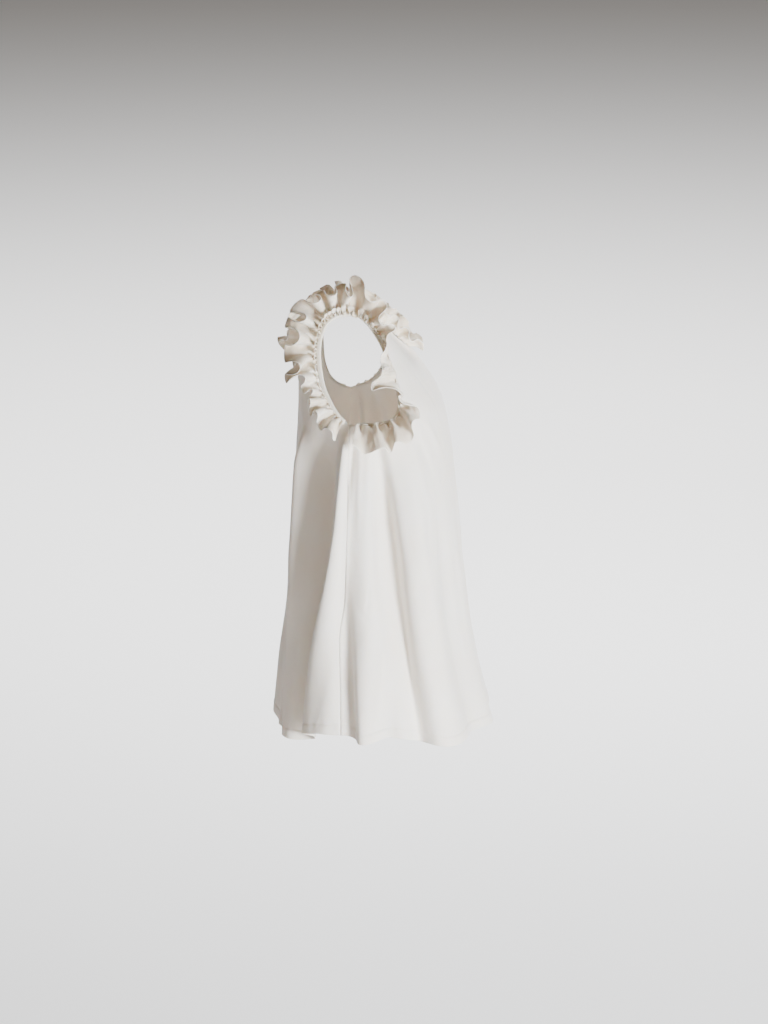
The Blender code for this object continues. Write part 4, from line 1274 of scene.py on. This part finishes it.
def moved_on_cloth(angle, drop, step):
    """The (angle, drop) of points moved along the cloth by short steps in space."""
    low, high = np.maximum(drop - SMALL_DROP, 0.0), drop + SMALL_DROP
    turn = (body_point(angle + SMALL_TURN, drop) - body_point(angle - SMALL_TURN, drop)) / (2 * SMALL_TURN)
    down = (body_point(angle, high) - body_point(angle, low)) / (high - low)[:, None]
    a, b, c = (turn * turn).sum(1), (turn * down).sum(1), (down * down).sum(1)
    p, q = (turn * step).sum(1), (down * step).sum(1)
    size = a * c - b * b
    return angle + (c * p - b * q) / size, np.maximum(drop + (a * q - b * p) / size, 0.0)


def make_binding(side, front, back):
    """A strip turned over an armhole's edge."""
    column = 0 if side == "left" else -1
    rows = slice(STRAP_ROWS, STRAP_ROWS + ARMHOLE_ROWS + 1)
    edge = np.vstack([front[rows, column][::-1], back[rows, column][1:]])[BINDING_END:-BINDING_END]
    angle, drop = edge[:, 0], edge[:, 1]
    points = blurred(body_point(angle, drop), BINDING_POINT_BLURS, False)
    normals = unit(blurred(body_normal(angle, drop), BINDING_NORMAL_BLURS, False))
    along = unit(np.gradient(points, axis=0))
    away = unit(np.cross(normals, along)) * (1.0 if side == "left" else -1.0)
    profile = [points - away * (BINDING_GAP * 0.3) - normals * (WALL + INNER_LEAF)]
    for turn in TURN_ANGLES:
        lean = math.radians(turn)
        reach = BINDING_GAP + TURN_OUT * math.cos(lean)
        middle = -0.5 * WALL + TURN_TALL * math.sin(lean)
        profile.append(points - away * reach + normals * middle)
    for share in LEAF_SHARES:
        at_angle, at_drop = moved_on_cloth(angle, drop, away * BINDING_WIDE * share)
        crown = BINDING_GAP + BINDING_CROWN * math.sin(math.pi * share) + BINDING_LIFT * share * 0.5
        profile.append(body_point(at_angle, at_drop) + normals * crown)
    grid = np.stack(profile)
    if side == "right":
        grid = grid[:, ::-1]
    piece = grid_piece("binding_of_armhole_" + side, grid, binding_cotton, BINDING_WALL, 0.5)
    stand_in(piece, "armhole_binding_" + side)


for side in ("left", "right"):
    make_binding(side, front_domain, back_domain)

# %% [markdown]
# ## Stitches and rolled hems
# Sewing repeats along a path, so Geometry Nodes make it. One tree turns a line into even points and lays a
# small stitch on each. The other sweeps a round bead along the free edge of a ruffle, where its cloth is
# rolled over a thread. Modelling every stitch by hand would take far longer, and a bump line would vanish
# from close by. Each tree has its sizes as named inputs, so the same tree serves every seam.

# %% Trees for sewing
STITCH_SIDES = 6
STITCH_RINGS = 4
BEAD_SIDES = 6


def geometry_tree(name, sizes):
    tree = bpy.data.node_groups.new(name, "GeometryNodeTree")
    tree.interface.new_socket("Line", in_out="INPUT", socket_type="NodeSocketGeometry")
    for label, value in sizes:
        socket = tree.interface.new_socket(label, in_out="INPUT", socket_type="NodeSocketFloat")
        socket.default_value = value
    tree.interface.new_socket("Material", in_out="INPUT", socket_type="NodeSocketMaterial")
    tree.interface.new_socket("Geometry", in_out="OUTPUT", socket_type="NodeSocketGeometry")
    return tree, add_node(tree, "NodeGroupInput"), add_node(tree, "NodeGroupOutput")


def finish_tree(tree, start, end, geometry):
    """Realize Instances and Set Material come last."""
    realize = add_node(tree, "GeometryNodeRealizeInstances")
    dress = add_node(tree, "GeometryNodeSetMaterial")
    tree.links.new(geometry, realize.inputs[0])
    tree.links.new(realize.outputs[0], dress.inputs["Geometry"])
    tree.links.new(start.outputs["Material"], dress.inputs["Material"])
    tree.links.new(dress.outputs[0], end.inputs["Geometry"])


def build_stitch_tree():
    sizes = (("Pitch", 0.0035), ("Length", 0.0026), ("Thickness", 0.0005))
    tree, start, end = geometry_tree("row of stitches", sizes)
    curve = add_node(tree, "GeometryNodeMeshToCurve")
    points = add_node(tree, "GeometryNodeCurveToPoints", mode="LENGTH")
    ball = add_node(tree, "GeometryNodeMeshUVSphere")
    ball.inputs["Segments"].default_value = STITCH_SIDES
    ball.inputs["Rings"].default_value = STITCH_RINGS
    ball.inputs["Radius"].default_value = 0.5
    smooth_ball = add_node(tree, "GeometryNodeSetShadeSmooth")
    turn = add_node(tree, "FunctionNodeAlignRotationToVector", axis="Z")
    size = add_node(tree, "ShaderNodeCombineXYZ")
    place = add_node(tree, "GeometryNodeInstanceOnPoints")
    tree.links.new(start.outputs["Line"], curve.inputs["Mesh"])
    tree.links.new(curve.outputs[0], points.inputs["Curve"])
    tree.links.new(start.outputs["Pitch"], points.inputs["Length"])
    tree.links.new(points.outputs["Tangent"], turn.inputs["Vector"])
    tree.links.new(start.outputs["Thickness"], size.inputs["X"])
    tree.links.new(start.outputs["Thickness"], size.inputs["Y"])
    tree.links.new(start.outputs["Length"], size.inputs["Z"])
    tree.links.new(ball.outputs["Mesh"], smooth_ball.inputs["Geometry"])
    tree.links.new(points.outputs["Points"], place.inputs["Points"])
    tree.links.new(smooth_ball.outputs[0], place.inputs["Instance"])
    tree.links.new(turn.outputs[0], place.inputs["Rotation"])
    tree.links.new(size.outputs[0], place.inputs["Scale"])
    finish_tree(tree, start, end, place.outputs[0])
    return tree


def build_bead_tree():
    tree, start, end = geometry_tree("rolled edge", (("Thickness", 0.0016),))
    curve = add_node(tree, "GeometryNodeMeshToCurve")
    circle = add_node(tree, "GeometryNodeCurvePrimitiveCircle")
    circle.inputs["Resolution"].default_value = BEAD_SIDES
    half = add_node(tree, "ShaderNodeMath", operation="MULTIPLY")
    half.inputs[1].default_value = 0.5
    sweep = add_node(tree, "GeometryNodeCurveToMesh")
    sweep.inputs["Fill Caps"].default_value = True
    tree.links.new(start.outputs["Line"], curve.inputs["Mesh"])
    tree.links.new(start.outputs["Thickness"], half.inputs[0])
    tree.links.new(half.outputs[0], circle.inputs["Radius"])
    tree.links.new(curve.outputs[0], sweep.inputs["Curve"])
    tree.links.new(circle.outputs[0], sweep.inputs["Profile Curve"])
    finish_tree(tree, start, end, sweep.outputs[0])
    return tree


stitch_tree = build_stitch_tree()
bead_tree = build_bead_tree()


def along_lines(name, lines, tree, material, slot, **sizes):
    """Runs a tree along open or closed lines of points and keeps the result as a plain mesh."""
    mesh = bpy.data.meshes.new(name + " line")
    corners, edges = [], []
    for line, closed in lines:
        first = len(corners)
        corners += [tuple(point) for point in line]
        edges += [(first + i, first + i + 1) for i in range(len(line) - 1)]
        if closed:
            edges.append((first + len(line) - 1, first))
    mesh.from_pydata(corners, edges, [])
    source = bpy.data.objects.new(name + " line", mesh)
    bpy.context.scene.collection.objects.link(source)
    modifier = source.modifiers.new("sewing", "NODES")
    modifier.node_group = tree
    for item in tree.interface.items_tree:
        if item.in_out == "INPUT" and item.name in sizes:
            modifier[item.identifier] = sizes[item.name]
        if item.in_out == "INPUT" and item.name == "Material":
            modifier[item.identifier] = material
    view = bpy.context.evaluated_depsgraph_get()
    made = bpy.data.meshes.new_from_object(source.evaluated_get(view))
    bpy.data.objects.remove(source)
    piece = bpy.data.objects.new(name, made)
    made.name = name
    made.polygons.foreach_set("use_smooth", [True] * len(made.polygons))
    bpy.context.scene.collection.objects.link(piece)
    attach(piece, "root")
    print(name, len(made.polygons), "faces")
    return piece


# %% [markdown]
# The rows of stitches follow the finished cloth: the gathering line of each ruffle, on both of its faces,
# and the turned hem. The bead follows the free edge of each ruffle.

# %% Sewing lines
THREAD_LIFT = 0.0003


def grid_normals(grid):
    across = np.gradient(grid, axis=1)
    down = np.gradient(grid, axis=0)
    return unit(np.cross(down, across))


def hem_line(domain):
    """A line on the cloth, one hem turn above the edge."""
    line = []
    for column in range(1, domain.shape[1] - 1):
        angle, drop = domain[-HEM_ROWS - 1:, column, 0], domain[-HEM_ROWS - 1:, column, 1]
        at = hem_drop(angle[-1]) - HEM_TURN
        turn = np.interp(at, drop, angle)
        normal = body_normal(np.array([turn]), np.array([at]))[0]
        line.append(cloth_point(np.array([turn]), np.array([at]))[0] + normal * THREAD_LIFT)
    return np.array(line)


RUFFLE_GRIDS = (("left", left_grid, False), ("right", right_grid, False), ("neck", neck_grid, True))
ruffle_lines = []
for side, grid, closed in RUFFLE_GRIDS:
    lift = grid_normals(grid)[HEADING_ROWS] * (-1.0 if side == "right" else 1.0)
    for face in (1.0, -1.0):
        line = grid[HEADING_ROWS] + face * lift * (0.5 * RUFFLE_WALL + THREAD_LIFT * 0.5)
        ruffle_lines.append((line, closed))
along_lines("gathering_stitches", ruffle_lines, stitch_tree, thread_material, "armhole_ruffle_left",
            Pitch=0.0040, Length=0.0030, Thickness=0.0006)
along_lines("hem_stitches", [(hem_line(front_domain), False), (hem_line(back_domain), False)], stitch_tree,
            thread_material, "front_panel", Pitch=0.0040, Length=0.0031, Thickness=0.0006)
for side, grid, closed in RUFFLE_GRIDS:
    slot = "neck_ruffle" if side == "neck" else "armhole_ruffle_" + side
    along_lines("rolled_edge_" + side, [(grid[-1], closed)], bead_tree, bead_cotton, slot, Thickness=0.0017)

# %% [markdown]

# %% [markdown]
# ## Floor, light and camera
# The dress hangs at the height of a standing wearer over a pale floor. The photo shows pale cloth where it
# faces right and warm shade where a fold turns left, so one cool soft light stands low on the right and a
# weak warm one stands on the left. A third lights the back, and a wide one whitens the floor behind. The
# world's warm colour fills the shade, as pale walls do in a room. The camera stands far away with a long
# lens, which keeps the view nearly parallel, and looks down at 13 degrees.

# %% Floor, light and camera
FLOOR_Z = -1.55
ELEVATION = 13.0
DISTANCE = 12.0
PIXEL = 0.0019  # metres in one pixel of the picture
IMAGE = (768, 1024)
ORIGIN_AT = (350, 308)  # the origin's place in the picture, from its top left corner
SENSOR = 36.0

floor_mesh = bpy.data.meshes.new("floor")
floor_mesh.from_pydata(
    [(-30, -30, FLOOR_Z), (30, -30, FLOOR_Z), (30, 30, FLOOR_Z), (-30, 30, FLOOR_Z)], [], [(0, 1, 2, 3)]
)
floor = bpy.data.objects.new("floor", floor_mesh)
bpy.context.scene.collection.objects.link(floor)
floor_material = bpy.data.materials.new("pale floor")
floor_material.use_nodes = True
floor_shader = floor_material.node_tree.nodes["Principled BSDF"]
floor_shader.inputs["Base Color"].default_value = (0.93, 0.93, 0.93, 1.0)
floor_shader.inputs["Roughness"].default_value = 0.9
floor_mesh.materials.append(floor_material)


def area_light(name, place, target, size, power, colour):
    light = bpy.data.lights.new(name, "AREA")
    light.shape = "DISK"
    light.size = size
    light.energy = power
    light.color = colour
    lamp = bpy.data.objects.new(name, light)
    direction = np.array(target, float) - np.array(place, float)
    lamp.location = place
    lamp.rotation_euler = Vector(direction).to_track_quat("-Z", "Y").to_euler()
    bpy.context.scene.collection.objects.link(lamp)
    return lamp


CENTRE = (0.06, 0.0, -0.40)
area_light("key", (2.45, -3.25, -0.35), CENTRE, 1.2, 490.0, (0.93, 0.965, 1.0))
area_light("front", (-1.6, -4.0, 0.0), CENTRE, 2.0, 15.0, (1.0, 0.85, 0.70))
area_light("back", (1.4, 3.6, 1.6), CENTRE, 2.0, 150.0, (0.95, 0.97, 1.0))
area_light("over the floor", (0.3, 5.5, 3.4), (0.3, 5.5, FLOOR_Z), 5.0, 900.0, (1.0, 1.0, 1.0))
world = bpy.data.worlds.new("room")
world.use_nodes = True
world.node_tree.nodes["Background"].inputs["Color"].default_value = (1.0, 0.76, 0.52, 1.0)
world.node_tree.nodes["Background"].inputs["Strength"].default_value = 0.07
bpy.context.scene.world = world

tilt = math.radians(ELEVATION)
right_of_origin = (IMAGE[0] / 2 - ORIGIN_AT[0]) * PIXEL
below_origin = (IMAGE[1] / 2 - ORIGIN_AT[1]) * PIXEL
looked_at = np.array([right_of_origin, -below_origin * math.sin(tilt), -below_origin * math.cos(tilt)])
camera_data = bpy.data.cameras.new("camera")
camera_data.sensor_width = SENSOR
camera_data.lens = SENSOR * DISTANCE / (IMAGE[1] * PIXEL)
camera_data.clip_end = 100.0
camera = bpy.data.objects.new("camera", camera_data)
camera.location = looked_at + DISTANCE * np.array([0.0, -math.cos(tilt), math.sin(tilt)])
camera.rotation_euler = (math.pi / 2 - tilt, 0.0, 0.0)
bpy.context.scene.collection.objects.link(camera)
bpy.context.scene.camera = camera
print("camera at", [round(x, 3) for x in camera.location], "with a lens of", round(camera_data.lens, 1), "mm")
